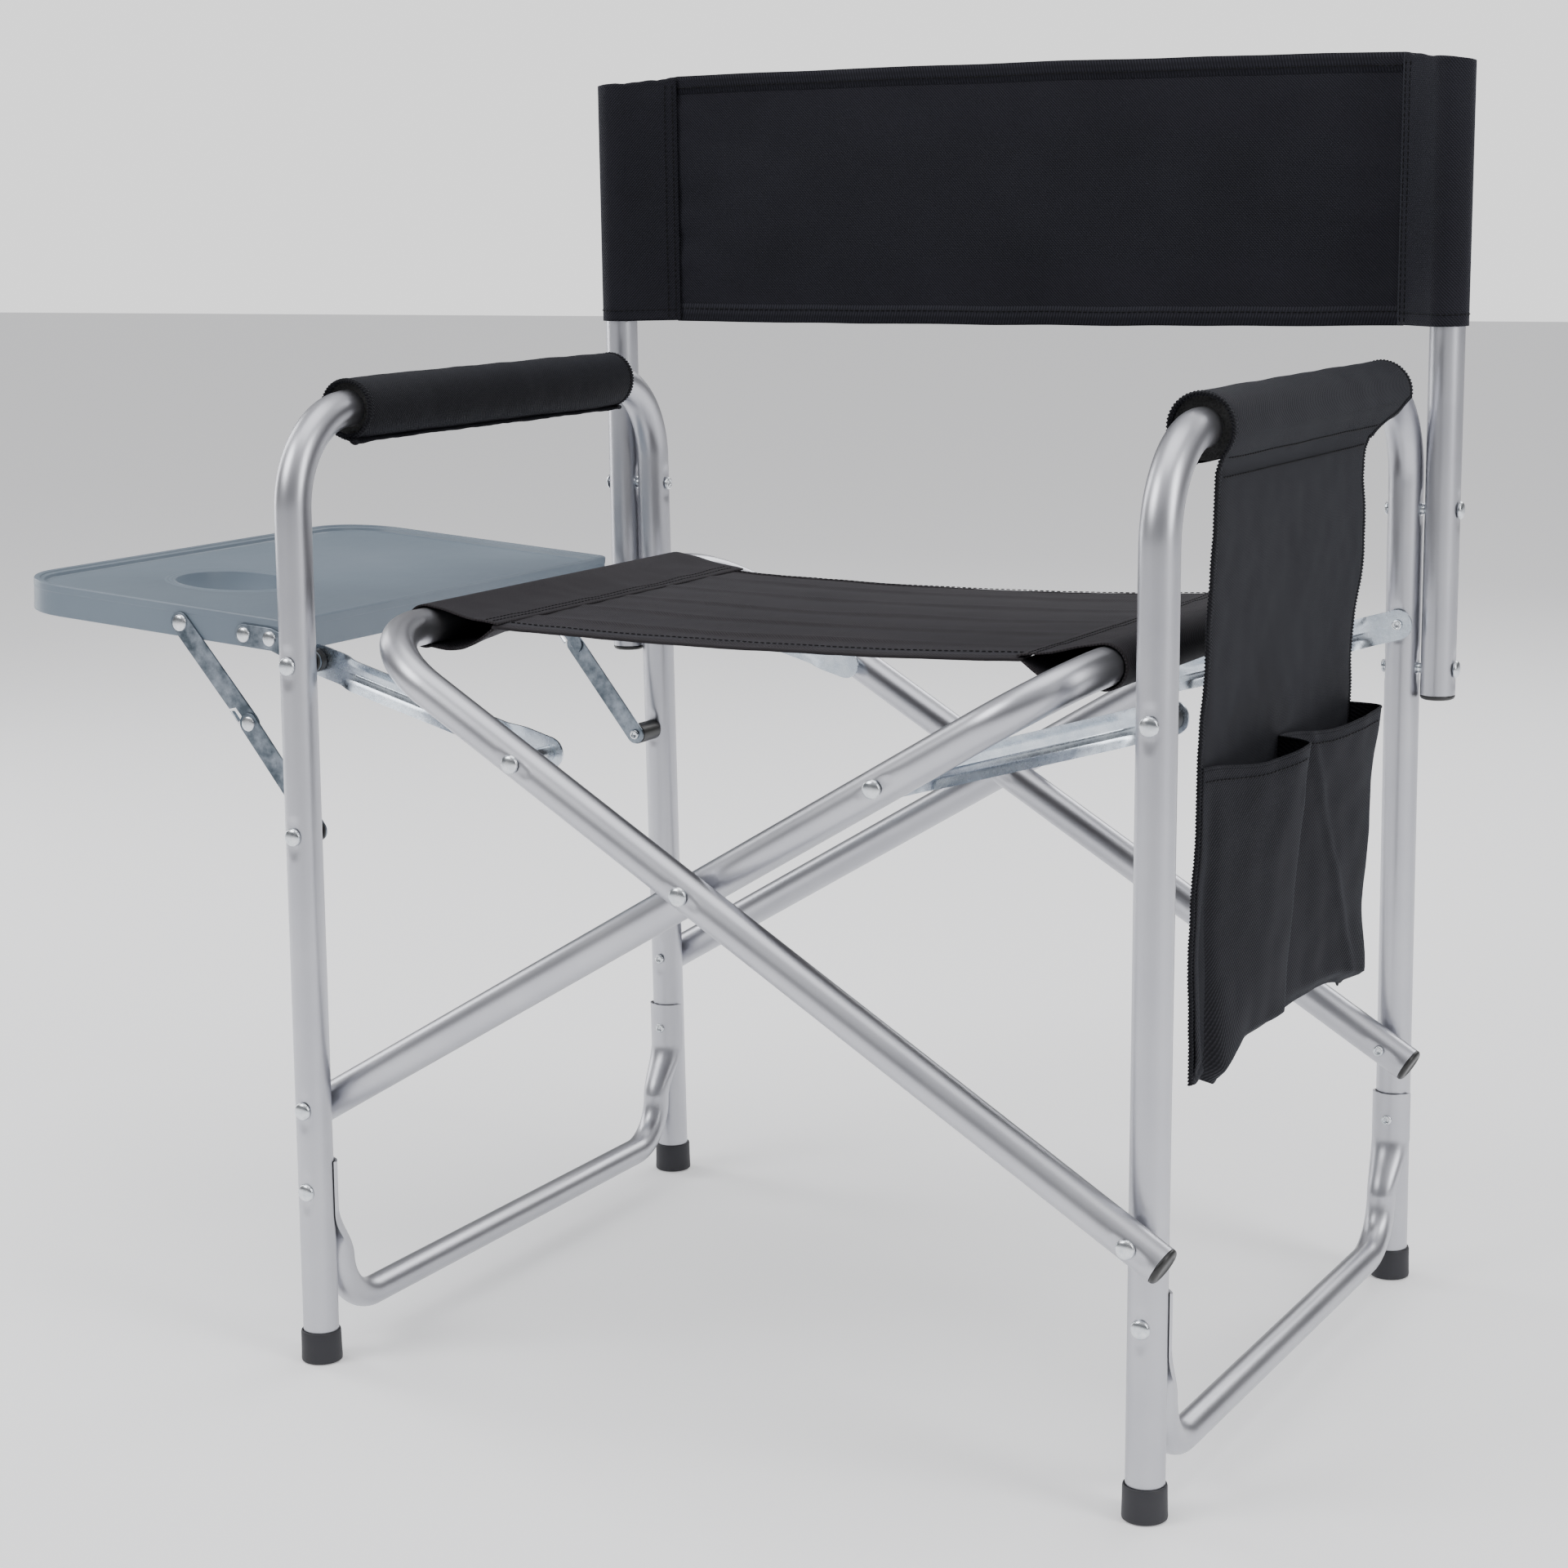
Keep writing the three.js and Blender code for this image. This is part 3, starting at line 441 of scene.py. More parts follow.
def loft(name, rings, material, flats=None):
    """Joins closed rings of equal length into a skin, with a fan at each end."""
    rings = np.asarray(rings, float)
    count, size = rings.shape[:2]
    points = rings.reshape(-1, 3)
    faces = []
    for i in range(count - 1):
        for j in range(size):
            k = (j + 1) % size
            faces.append((i * size + j, i * size + k, (i + 1) * size + k, (i + 1) * size + j))
    flat = None if flats is None else np.asarray(flats, float).reshape(-1, 3)
    for ring in (0, count - 1):
        centre = len(points)
        points = np.vstack([points, rings[ring].mean(0)])
        if flat is not None:
            flat = np.vstack([flat, flat[ring * size]])
        for j in range(size):
            faces.append((ring * size + j, ring * size + (j + 1) % size, centre))
    return face_outwards(make_mesh(name, points, faces, material, flat))


def turned(name, profile, base, axis, material, segments=40):
    """A lathed piece: profile is (radius, distance along the axis from base)."""
    axis = Vector(axis).normalized()
    side = axis.orthogonal().normalized()
    other = axis.cross(side)
    rings = []
    for radius, height in profile:
        ring = []
        for j in range(segments):
            turn = 2 * math.pi * j / segments
            spoke = side * math.cos(turn) + other * math.sin(turn)
            ring.append(Vector(base) + axis * height + spoke * max(radius, 0.01))
        rings.append(ring)
    return sharpen(loft(name, rings, material), 40)


def finish_piece(obj, body, slot, *nodes):
    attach(obj, body)
    if nodes:
        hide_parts(*nodes)
    return obj


def smoothstep(t):
    t = np.clip(t, 0.0, 1.0)
    return t * t * (3 - 2 * t)


# ---------------------------------------------------------------- tubes

def bent_path(corners, radius, marks=(), coarse=14.0, fine=1.8, reach=17.0):
    """Points along straight runs joined by arcs, closer together near the marks."""
    corners = [np.asarray(c, float) for c in corners]
    starts, path, arcs = [corners[0]], [], []
    for before, corner, after in zip(corners, corners[1:], corners[2:]):
        u, v = before - corner, after - corner
        u, v = u / np.linalg.norm(u), v / np.linalg.norm(v)
        turn = math.pi - math.acos(float(np.clip(u @ v, -1, 1)))
        reach_in = radius * math.tan(turn / 2)
        arcs.append((corner, u, v, turn, reach_in))
    for corner, u, v, _, reach_in in arcs:
        starts += [corner + u * reach_in, corner + v * reach_in]
    starts.append(corners[-1])
    for i in range(0, len(starts), 2):
        a, b = starts[i], starts[i + 1]
        length = np.linalg.norm(b - a)
        way = (b - a) / length
        places = set(np.linspace(0, length, max(2, int(length / coarse) + 1)).round(2))
        for mark in marks:
            s = float((np.asarray(mark) - a) @ way)
            off = np.linalg.norm(a + way * s - mark)
            if -reach < s < length + reach and off < 20:
                near = np.arange(s - reach, s + reach, fine).round(2)
                places.update(x for x in near if 0.5 < x < length - 0.5)
        path.extend(a + way * s for s in sorted(places))
        if i // 2 < len(arcs):
            corner, u, v, turn, reach_in = arcs[i // 2]
            bisector = (u + v) / np.linalg.norm(u + v)
            centre = corner + bisector * (radius / math.cos(turn / 2))
            from_centre = corner + u * reach_in - centre
            to_centre = corner + v * reach_in - centre
            steps = max(4, int(math.degrees(turn) / 4))
            for k in range(1, steps):
                t = turn * k / steps
                point = (from_centre * math.sin(turn - t) + to_centre * math.sin(t)) / math.sin(turn)
                path.append(centre + point)
    return np.array(path)


def sweep_rings(path, radius, segments):
    """Rings round a path with as little twist as can be, and their flat places."""
    runs = np.r_[0, np.cumsum(np.linalg.norm(np.diff(path, axis=0), axis=1))]
    tangents = np.gradient(path, runs, axis=0)
    tangents /= np.linalg.norm(tangents, axis=1)[:, None]
    side = np.cross(tangents[0], [0.31, 0.87, 0.38])
    side /= np.linalg.norm(side)
    rings, flats = [], []
    turns = np.arange(segments) * 2 * math.pi / segments
    for point, tangent, run in zip(path, tangents, runs):
        side = side - tangent * (side @ tangent)
        side /= np.linalg.norm(side)
        other = np.cross(tangent, side)
        rings.append(point + radius * (np.cos(turns)[:, None] * side + np.sin(turns)[:, None] * other))
        flats.append([(run, radius * turn, 0) for turn in turns])
    return np.array(rings), np.array(flats), tangents


def press_dimples(rings, path, tangents, dimples):
    """Flattens the wall in an oval round each rivet."""
    for centre, way in dimples:
        centre, way = np.asarray(centre, float), np.asarray(way, float)
        for i, (point, tangent) in enumerate(zip(path, tangents)):
            along = float((point - centre) @ tangent)
            if abs(along) > 17 or np.linalg.norm(point - centre) > 22:
                continue
            gap = rings[i] - centre
            height = gap @ way
            across = np.linalg.norm(gap - np.outer(height, way) - np.outer(gap @ tangent, tangent), axis=1)
            share = 1 - np.sqrt((along / 15.0) ** 2 + (across / 10.5) ** 2)
            limit = TUBE_R - DIMPLE_DEPTH * smoothstep(share * 2.2)
            over = np.clip(height - limit, 0, None) * (share > 0)
            rings[i] -= np.outer(over, way)


def tube(name, corners, bend_radius, dimples, body, node, open_end=False):
    """A bent tube. If its last end is open, it shows its wall and a short stretch of bore."""
    path = bent_path(corners, bend_radius, [centre for centre, _ in dimples])
    rings, flats, tangents = sweep_rings(path, TUBE_R, TUBE_SIDES)
    press_dimples(rings, path, tangents, dimples)
    rings, flats = list(rings), list(flats)
    if open_end:
        inner = path[-1] + (rings[-1] - path[-1]) * ((TUBE_R - TUBE_WALL) / TUBE_R)
        rings += [inner, inner - tangents[-1] * BORE_SHOWN]
        flats += [flats[-1]] * 2
    obj = loft(name, rings, ALUMINIUM, flats=flats)
    return finish_piece(sharpen(obj, 50), body, "tube_aluminium", node)


def leg_y(z):
    return FLOOR_LEG_Y - LEG_LEAN * z


def seat_tube_y(which, end, x):
    """The y of a seat tube's axis. Tube b is tube a after half a turn about the z axis."""
    if which == "b":
        return -seat_tube_y("a", -end, -x)
    at_leg = end * leg_y(SCISSOR_Z) - TUBE_PITCH
    middle = end * CROSS_MIDDLE_Y - CROSS_Y
    return middle + (at_leg - middle) * x / HALF_W


def seat_tube_z(which, x):
    slope = (CROSS_Z - SCISSOR_Z) / HALF_W
    return CROSS_Z - slope * x if which == "a" else CROSS_Z + slope * x


def seat_tube_point(which, end, x):
    return np.array([x, seat_tube_y(which, end, x), seat_tube_z(which, x)])


def arm_frame(side):
    x = SIDES[side] * HALF_W
    corners = [(x, end * leg_y(z), z)
               for end, z in ((FRONT, TUBE_END_Z), (FRONT, ARM_Z), (REAR, ARM_Z), (REAR, TUBE_END_Z))]
    heights = [STRUT_Z, SCISSOR_Z, RAIL_RIVET_Z] + ([BRACE_Z] if side == "left" else [])
    dimples = []
    for end in ENDS.values():
        for z in heights:
            centre = (x, end * leg_y(z), z)
            dimples.append((centre, (0, end, 0)))
            if z != RAIL_RIVET_Z:
                dimples.append((centre, (0, -end, 0)))
    for z in POST_BOLT_ZS:
        dimples += [((x, leg_y(z), z), (1, 0, 0)), ((x, leg_y(z), z), (-1, 0, 0))]
    tube(f"{side}_arm_tube", corners, ARM_BEND_R, dimples, FRAME_OF[side], f"{side}_arm_frame")


def back_post(side):
    x = SIDES[side] * POST_X
    ends = [(x, POST_Y, POST_BOTTOM_Z), (x, POST_Y, POST_TOP_Z)]
    dimples = [((x, POST_Y, z), (way, 0, 0)) for z in POST_BOLT_ZS for way in (1, -1)]
    tube(f"{side}_post_tube", ends, 1, dimples, FRAME_OF[side], f"{side}_back_post", open_end=True)


def seat_tube(which):
    way = LEFT if which == "a" else RIGHT
    rail_x = way * SEAT_RAIL_X
    pivot_x = -way * HALF_W
    low_x = pivot_x - way * TUBE_OVERRUN
    corners = [seat_tube_point(which, FRONT, low_x), seat_tube_point(which, FRONT, rail_x),
               seat_tube_point(which, REAR, rail_x), seat_tube_point(which, REAR, low_x)]
    dimples = []
    for end in ENDS.values():
        for x in (pivot_x, 0, way * STRUT_X):
            centre = seat_tube_point(which, end, x)
            dimples += [(centre, (0, 1, 0)), (centre, (0, -1, 0))]
    node, body = f"seat_tube_{which}", f"scissor_{which}"
    tube(f"{node}_skin", corners, SEAT_BEND_R, dimples, body, node)
    for name, start, towards in (("front", corners[0], corners[1]), ("rear", corners[3], corners[2])):
        out = (start - towards) / np.linalg.norm(start - towards)
        end_plug(f"{node}_{name}_cap", start, out, body, f"{node}_{name}_plug")


def end_plug(name, base, out, body, node):
    profile = [(0, -6), (9.2, -6), (9.2, 0.3), (TUBE_R - 0.2, 0.3), (TUBE_R, 0.7), (TUBE_R - 0.2, 1.7),
               (10.2, 2.5), (9.2, 3.0), (7.6, 3.2), (7.0, 2.7), (0, 2.7)]
    finish_piece(turned(name, profile, base, out, BLACK_PLASTIC), body, "black_plastic", node)


def lower_rail(side):
    """A U rail whose ends are pressed into half saddles that hug the legs."""
    x = SIDES[side] * HALF_W
    segments = 40
    corners = [(x, -RAIL_END_Y, 62), (x, -RAIL_END_Y, RAIL_Z), (x, RAIL_END_Y, RAIL_Z), (x, RAIL_END_Y, 62)]
    path = bent_path(corners, RAIL_BEND_R)
    rings, flats, _ = sweep_rings(path, RAIL_R, segments)
    rings, flats = list(rings), list(flats)

    def saddle(end, shape_ring, z):
        """A ring part of the way from the round tube to the crescent round the leg."""
        leg = end * leg_y(z)
        half = 1.32
        ring = []
        for point in shape_ring:
            angle = math.atan2(point[0] - x, (end * RAIL_END_Y - point[1]) * end)
            inward = abs(angle) < math.pi / 2
            turn = angle if inward else math.copysign(math.pi - abs(angle), angle)
            turn = turn / (math.pi / 2) * half
            around = 13.2 if inward else 11.65
            share = float(smoothstep((z - 60) / 38) if inward else smoothstep((z - 59) / 34))
            target = np.array([x + around * math.sin(turn), leg - end * around * math.cos(turn), z])
            start = np.array([point[0], point[1], z])
            ring.append(start + (target - start) * share)
        return ring

    heights = (*range(64, 104, 2), 106, 112, 118, 124, SADDLE_TOP_Z)
    front = [saddle(FRONT, rings[0], z) for z in heights]
    rear = [saddle(REAR, rings[-1], z) for z in heights]
    rings = front[::-1] + rings + rear
    flats = [flats[0]] * len(front) + flats + [flats[-1]] * len(rear)
    obj = loft(f"{side}_foot_rail", rings, ALUMINIUM, flats=flats)
    finish_piece(sharpen(obj, 48), FRAME_OF[side], "tube_aluminium", f"{side}_lower_rail")
    for name, end in ENDS.items():
        leg = end * leg_y(RAIL_RIVET_Z)
        head, tail = (x, leg + end * 10.6, RAIL_RIVET_Z), (x, leg - end * 12.9, RAIL_RIVET_Z)
        dome(f"{side}_{name}_rail_rivet", head, (0, end, 0), HEAD_R, HEAD_H, FRAME_OF[side])
        rolled_tail(f"{side}_{name}_rail_rivet_tail", tail, (0, -end, 0), TAIL_R, 1.5, FRAME_OF[side])


def foot(side, name):
    low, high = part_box(f"{side}_{name}_foot")
    middle = (low + high) / 2 / MM
    base = (middle.x - MIDDLE_X, middle.y, 0)
    profile = [(0, 0.35), (10.6, 0.35), (11.2, 0), (12.0, 0), (12.6, 0.5), (12.75, 1.6), (12.6, 5),
               (12.45, 12), (12.35, 18.6), (12.05, 19.6), (11.8, 19.8), (11.3, 19.8),
               (11.2, 19.4), (11.2, 6), (0, 6)]
    obj = turned(f"{side}_{name}_foot_cap", profile, base, (0, 0, 1), RUBBER, 56)
    finish_piece(obj, FRAME_OF[side], "foot_rubber", f"{side}_{name}_foot")


# ---------------------------------------------------------------- rivets and spacers

def dome(name, base, axis, radius, height, body, *nodes):
    """A domed rivet head with a thin skirt, standing on its base."""
    profile = [(0, -2.5), (2.6, -2.5), (2.6, 0), (radius, 0), (radius + 0.1, 0.25), (radius * 0.985, 0.6)]
    for k in range(1, 9):
        turn = math.pi / 2 * k / 8
        profile.append((radius * 0.985 * math.cos(turn), 0.6 + (height - 0.6) * math.sin(turn)))
    return finish_piece(turned(name, profile, base, axis, RIVET, 32), body, "zinc_steel", *nodes)


def rolled_tail(name, base, axis, radius, height, body, *nodes):
    """The rivet's other end: a rolled ring round a small hollow."""
    hollow = radius * 0.42
    profile = [(0, -1.5), (2.6, -1.5), (2.6, 0), (radius, 0)]
    for k in range(7):
        turn = math.pi * k / 6
        middle = (radius + hollow) / 2
        around = (radius - hollow) / 2 * math.cos(turn)
        profile.append((middle + around, height * (0.3 + 0.7 * math.sin(turn))))
    profile.append((0, height * 0.1))
    return finish_piece(turned(name, profile, base, axis, RIVET, 28), body, "zinc_steel", *nodes)


def rivet(node, body):
    """A rivet along y in place of its CAD node: head outwards, rolled tail inwards, and its shank."""
    low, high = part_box(node)
    low, high = low / MM, high / MM
    x, z = (low.x + high.x) / 2 - MIDDLE_X, (low.z + high.z) / 2
    end = REAR if low.y + high.y > 0 else FRONT
    outer, inner = (high.y, low.y) if end == REAR else (low.y, high.y)
    head = (x, outer - end * HEAD_H, z)
    tail = (x, inner + end * TAIL_H, z)
    dome(f"{node}_head", head, (0, end, 0), HEAD_R, HEAD_H, body, node)
    rolled_tail(f"{node}_tail", tail, (0, -end, 0), TAIL_R, TAIL_H, body)
    length = abs(head[1] - tail[1])
    profile = [(0, 0), (2.8, 0), (2.8, length), (0, length)]
    shank = turned(f"{node}_shank", profile, tail, (0, end, 0), RIVET, 16)
    finish_piece(shank, body, "zinc_steel")


def spacer(name, x, z, y0, y1, body, radius=7.0, steel=False):
    """A black plastic washer, or a slimmer steel sleeve, between two pieces on one rivet."""
    low, high = sorted((y0, y1))
    thick = high - low
    edge = min(0.5, thick / 3)
    profile = [(0, 0), (radius - edge, 0), (radius, edge),
               (radius, thick - edge), (radius - edge, thick), (0, thick)]
    obj = turned(name, profile, (x, low, z), (0, 1, 0), RIVET if steel else BLACK_PLASTIC, 32)
    finish_piece(obj, body, "zinc_steel" if steel else "black_plastic")


def post_bolts(side):
    for level, z in zip(("upper", "lower"), POST_BOLT_ZS):
        node = f"{side}_{level}_post_bolt"
        way = SIDES[side]
        body = FRAME_OF[side]
        low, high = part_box(node)
        xs = sorted((low.x / MM - MIDDLE_X, high.x / MM - MIDDLE_X), key=abs)
        dome(f"{node}_head", (xs[1] - way * 2.6, POST_Y, z), (way, 0, 0), 5.4, 2.6, body, node)
        rolled_tail(f"{node}_tail", (xs[0] + way * 1.6, POST_Y, z), (-way, 0, 0), 4.2, 1.6, body)
        profile = [(0, -1.4), (5.2, -1.4), (3.4, 0), (3.4, 1.5), (5.2, 2.9), (0, 2.9)]
        collar = turned(f"{node}_collar", profile,
                        (way * (HALF_W + TUBE_R), POST_Y, z), (way, 0, 0), RIVET, 24)
        finish_piece(collar, body, "zinc_steel")


# ---------------------------------------------------------------- struts and braces

def strut(side, name):
    """Pressed strut: flat round ends, and a shallow channel with slanted flanges between."""
    end, way = ENDS[name], SIDES[side]
    turned_in = side == "right" and name == "rear"
    leg = np.array([way * HALF_W, STRUT_Z])
    which = "a" if side == "left" else "b"
    far = np.array([way * STRUT_X, seat_tube_z(which, way * STRUT_X)])
    length = float(np.linalg.norm(far - leg))
    run = (far - leg) / length
    cross = np.array([-run[1], run[0]])
    face = RIGHT_REAR_STRUT_Y + STRUT_T if turned_in else end * STRUT_Y
    opens = -1 if turned_in else end
    half = 9.5
    turns = [math.pi / 2 * k / 8 for k in range(9)]
    stations = [(-half * math.cos(turn), half * math.sin(turn)) for turn in turns]
    stations += [(s, half) for s in np.linspace(4, length - 4, 74)]
    stations += [(length + half * math.sin(turn), half * math.cos(turn)) for turn in turns]
    one_side = (0.05, 0.15, 0.40, 0.47, 0.62, 0.80, 0.93, 1)
    shares = [-share for share in reversed(one_side)] + [0, *one_side]
    inner, outer, flats = [], [], []
    for s, width in stations:
        channel = float(smoothstep((s - 17) / 13) * smoothstep((length - 17 - s) / 13))
        row_in, row_out, row_flat = [], [], []
        for share in shares:
            across = share * width
            rise = channel * 4.6 * float(np.clip((abs(share) - 0.43) / 0.57, 0, 1))
            groove = channel * 0.35 * math.exp(-(share / 0.05) ** 2)
            for row, thickness in ((row_in, 0), (row_out, STRUT_T)):
                y = face + opens * (thickness + rise - groove)
                row.append((*(leg + run * s + cross * across), y))
            row_flat.append((s, across, 0))
        inner.append([(p[0], p[2], p[1]) for p in row_in])
        outer.append([(p[0], p[2], p[1]) for p in row_out])
        flats.append(row_flat)
    obj = plate_between(f"{side}_{name}_strut_plate", inner, outer, flats, ZINC)
    finish_piece(obj, f"{side}_struts", "zinc_steel", f"{side}_{name}_strut")


def plate_between(name, inner, outer, flats, material):
    """A closed plate from two grids of points."""
    inner, outer = np.array(inner), np.array(outer)
    rows, columns = inner.shape[:2]
    points = np.vstack([inner.reshape(-1, 3), outer.reshape(-1, 3)])
    flat = np.vstack([np.array(flats, float).reshape(-1, 3)] * 2)
    shift = rows * columns
    faces = []
    for i in range(rows - 1):
        for j in range(columns - 1):
            a, b = i * columns + j, i * columns + j + 1
            c, d = (i + 1) * columns + j + 1, (i + 1) * columns + j
            faces.append((a, b, c, d))
            faces.append((a + shift, d + shift, c + shift, b + shift))
    border = [(0, j, 0, j + 1) for j in range(columns - 1)]
    border += [(i, columns - 1, i + 1, columns - 1) for i in range(rows - 1)]
    border += [(rows - 1, j + 1, rows - 1, j) for j in range(columns - 1)]
    border += [(i + 1, 0, i, 0) for i in range(rows - 1)]
    for i0, j0, i1, j1 in border:
        a, b = i0 * columns + j0, i1 * columns + j1
        faces.append((a, a + shift, b + shift, b))
    obj = make_mesh(name, points, faces, material, flat)
    builder = bmesh.new()
    builder.from_mesh(obj.data)
    bmesh.ops.remove_doubles(builder, verts=builder.verts, dist=0.00002)
    bmesh.ops.recalc_face_normals(builder, faces=builder.faces)
    builder.to_mesh(obj.data)
    builder.free()
    return sharpen(obj, 38)


def bar(name, outline, y0, y1, material, bevel=0.22):
    """A flat bar cut to an outline in the x-z plane, with eased edges."""
    count = len(outline)
    points = [(x, y0, z) for x, z in outline] + [(x, y1, z) for x, z in outline]
    faces = [tuple(range(count)), tuple(range(2 * count - 1, count - 1, -1))]
    faces += [(i, (i + 1) % count, (i + 1) % count + count, i + count) for i in range(count)]
    obj = face_outwards(make_mesh(name, points, faces, material))
    modifier = obj.modifiers.new("eased_edges", "BEVEL")
    modifier.width, modifier.segments, modifier.limit_method = bevel * MM, 2, "ANGLE"
    return sharpen(obj, 30)


def round_end(centre, start, steps):
    """Half a circle round one end of a link, from the angle start."""
    turns = [start + math.pi * k / steps for k in range(steps + 1)]
    return [centre + LINK_HALF * np.array([math.cos(turn), math.sin(turn)]) for turn in turns]


def link_outline(a, b, notch=None):
    """Round-ended outline from a to b. A notch, (depth, length), steps the right side in near b."""
    a, b = np.asarray(a, float), np.asarray(b, float)
    run = (b - a) / np.linalg.norm(b - a)
    side = np.array([-run[1], run[0]])
    base = math.atan2(run[1], run[0])
    points = round_end(a, base + math.pi / 2, 14)
    arc = round_end(b, base - math.pi / 2, 14)
    if notch:
        depth, length = notch
        left_over = LINK_HALF - depth
        corner = b - run * length
        points += [corner - side * LINK_HALF, corner + run * 2.2 - side * left_over]
        arc = [p + side * max(0.0, -float((p - b) @ side) - left_over) for p in arc]
    return [tuple(p) for p in points + arc]


def brace(name):
    """The two links of one brace, with the stop tab at the knee, and the table's hinge strip."""
    end = ENDS[name]
    wall = TABLE_Y[0] if end == FRONT else TABLE_Y[1]

    def layer(n):
        near = wall + end * (0.3 + n * LINK_PITCH)
        return near, near + end * LINK_T

    upper_y, lower_y = layer(0), layer(1)
    leg = (-HALF_W, BRACE_Z)
    lower = bar(f"{name}_lower_link", link_outline(leg, BRACE_MID), *lower_y, DARK_ZINC)
    finish_piece(lower, "lower_braces", "zinc_steel", f"{name}_lower_brace")
    notched = link_outline(BRACE_TOP, BRACE_MID, (4.4, 16.0))
    upper = bar(f"{name}_upper_link", notched, *upper_y, DARK_ZINC)
    finish_piece(upper, "upper_braces", "zinc_steel", f"{name}_upper_brace")

    # The stop tab is bent inwards from the lower link's outer edge, across the upper link's notch.
    run = np.array(BRACE_MID) - np.array(leg)
    run /= np.linalg.norm(run)
    side = np.array([-run[1], run[0]])
    start = np.array(BRACE_MID) + side * (LINK_HALF - 1.3) + run * 5.4
    tab = [start, start + run * 7.5, start + run * 8.5 + side * 1.4, start + side * 1.4 - run * 1.0]
    tab_obj = bar(f"{name}_stop_tab", [tuple(p) for p in tab], upper_y[0], lower_y[1], RIVET, 0.3)
    finish_piece(tab_obj, "lower_braces", "zinc_steel")

    top, knee = (BRACE_TOP[0], upper_y[1], BRACE_TOP[1]), (BRACE_MID[0], lower_y[1], BRACE_MID[1])
    dome(f"{name}_brace_top_rivet", top, (0, end, 0), 5.2, 2.3, "upper_braces")
    dome(f"{name}_knee_rivet", knee, (0, end, 0), 4.6, 1.6, "lower_braces", f"{name}_brace_mid_rivet")
    rivet(f"{name}_brace_rivet", "left_frame")

    outline = strip_outline(*STRIP_SPOTS, (-HALF_W, STRUT_Z))
    strip = bar(f"{name}_hinge_strip", outline, *upper_y, DARK_ZINC)
    finish_piece(strip, "table", "zinc_steel", f"{name}_table_strip")
    for i, (x, z) in enumerate(STRIP_SPOTS):
        dome(f"{name}_strip_rivet_{i + 1}", (x, upper_y[1], z), (0, end, 0), 4.7, 2.2, "table")


def strip_outline(a, b, c):
    """Outline of a bar from a to c that bends once in its plane, at b."""
    a, b, c = (np.asarray(p, float) for p in (a, b, c))
    first, second = (b - a) / np.linalg.norm(b - a), (c - b) / np.linalg.norm(c - b)
    middle = np.array([-first[1] - second[1], first[0] + second[0]])
    middle = middle / np.linalg.norm(middle)
    points = round_end(a, math.atan2(first[1], first[0]) + math.pi / 2, 12)
    points.append(b - middle * LINK_HALF)
    points += round_end(c, math.atan2(second[1], second[0]) - math.pi / 2, 12)
    points.append(b + middle * LINK_HALF)
    return [tuple(p) for p in points]


# ---------------------------------------------------------------- side table

def table_point(x, y, z):
    """A point of the table's own frame, whose top is z 0 and whose inner edge is x 0."""
    c, s = math.cos(TABLE_TILT), math.sin(TABLE_TILT)
    return (TABLE_X + x * c + z * s, y, TABLE_Z - x * s + z * c)


def table_outline(grow):
    """Small corners beside the chair and wide ones outside, grown by an offset."""
    x0, x1 = -TABLE_WIDTH - grow, grow
    y0, y1 = TABLE_Y[0] - grow, TABLE_Y[1] + grow
    wide, small = max(44 + grow, 1), max(6 + grow, 0.6)
    corners = [(x1 - small, y0 + small, small, -90), (x1 - small, y1 - small, small, 0),
               (x0 + wide, y1 - wide, wide, 90), (x0 + wide, y0 + wide, wide, 180)]
    points = []
    for cx, cy, r, start in corners:
        for k in range(15):
            turn = math.radians(start + 90 * k / 14)
            points.append((cx + r * math.cos(turn), cy + r * math.sin(turn)))
    dense = []
    for i, p in enumerate(points):
        q = points[(i + 1) % len(points)]
        dense.append(p)
        if math.dist(p, q) > 60:
            dense += [(p[0] + (q[0] - p[0]) * k / 6, p[1] + (q[1] - p[1]) * k / 6)
                      for k in range(1, 6)]
    return dense


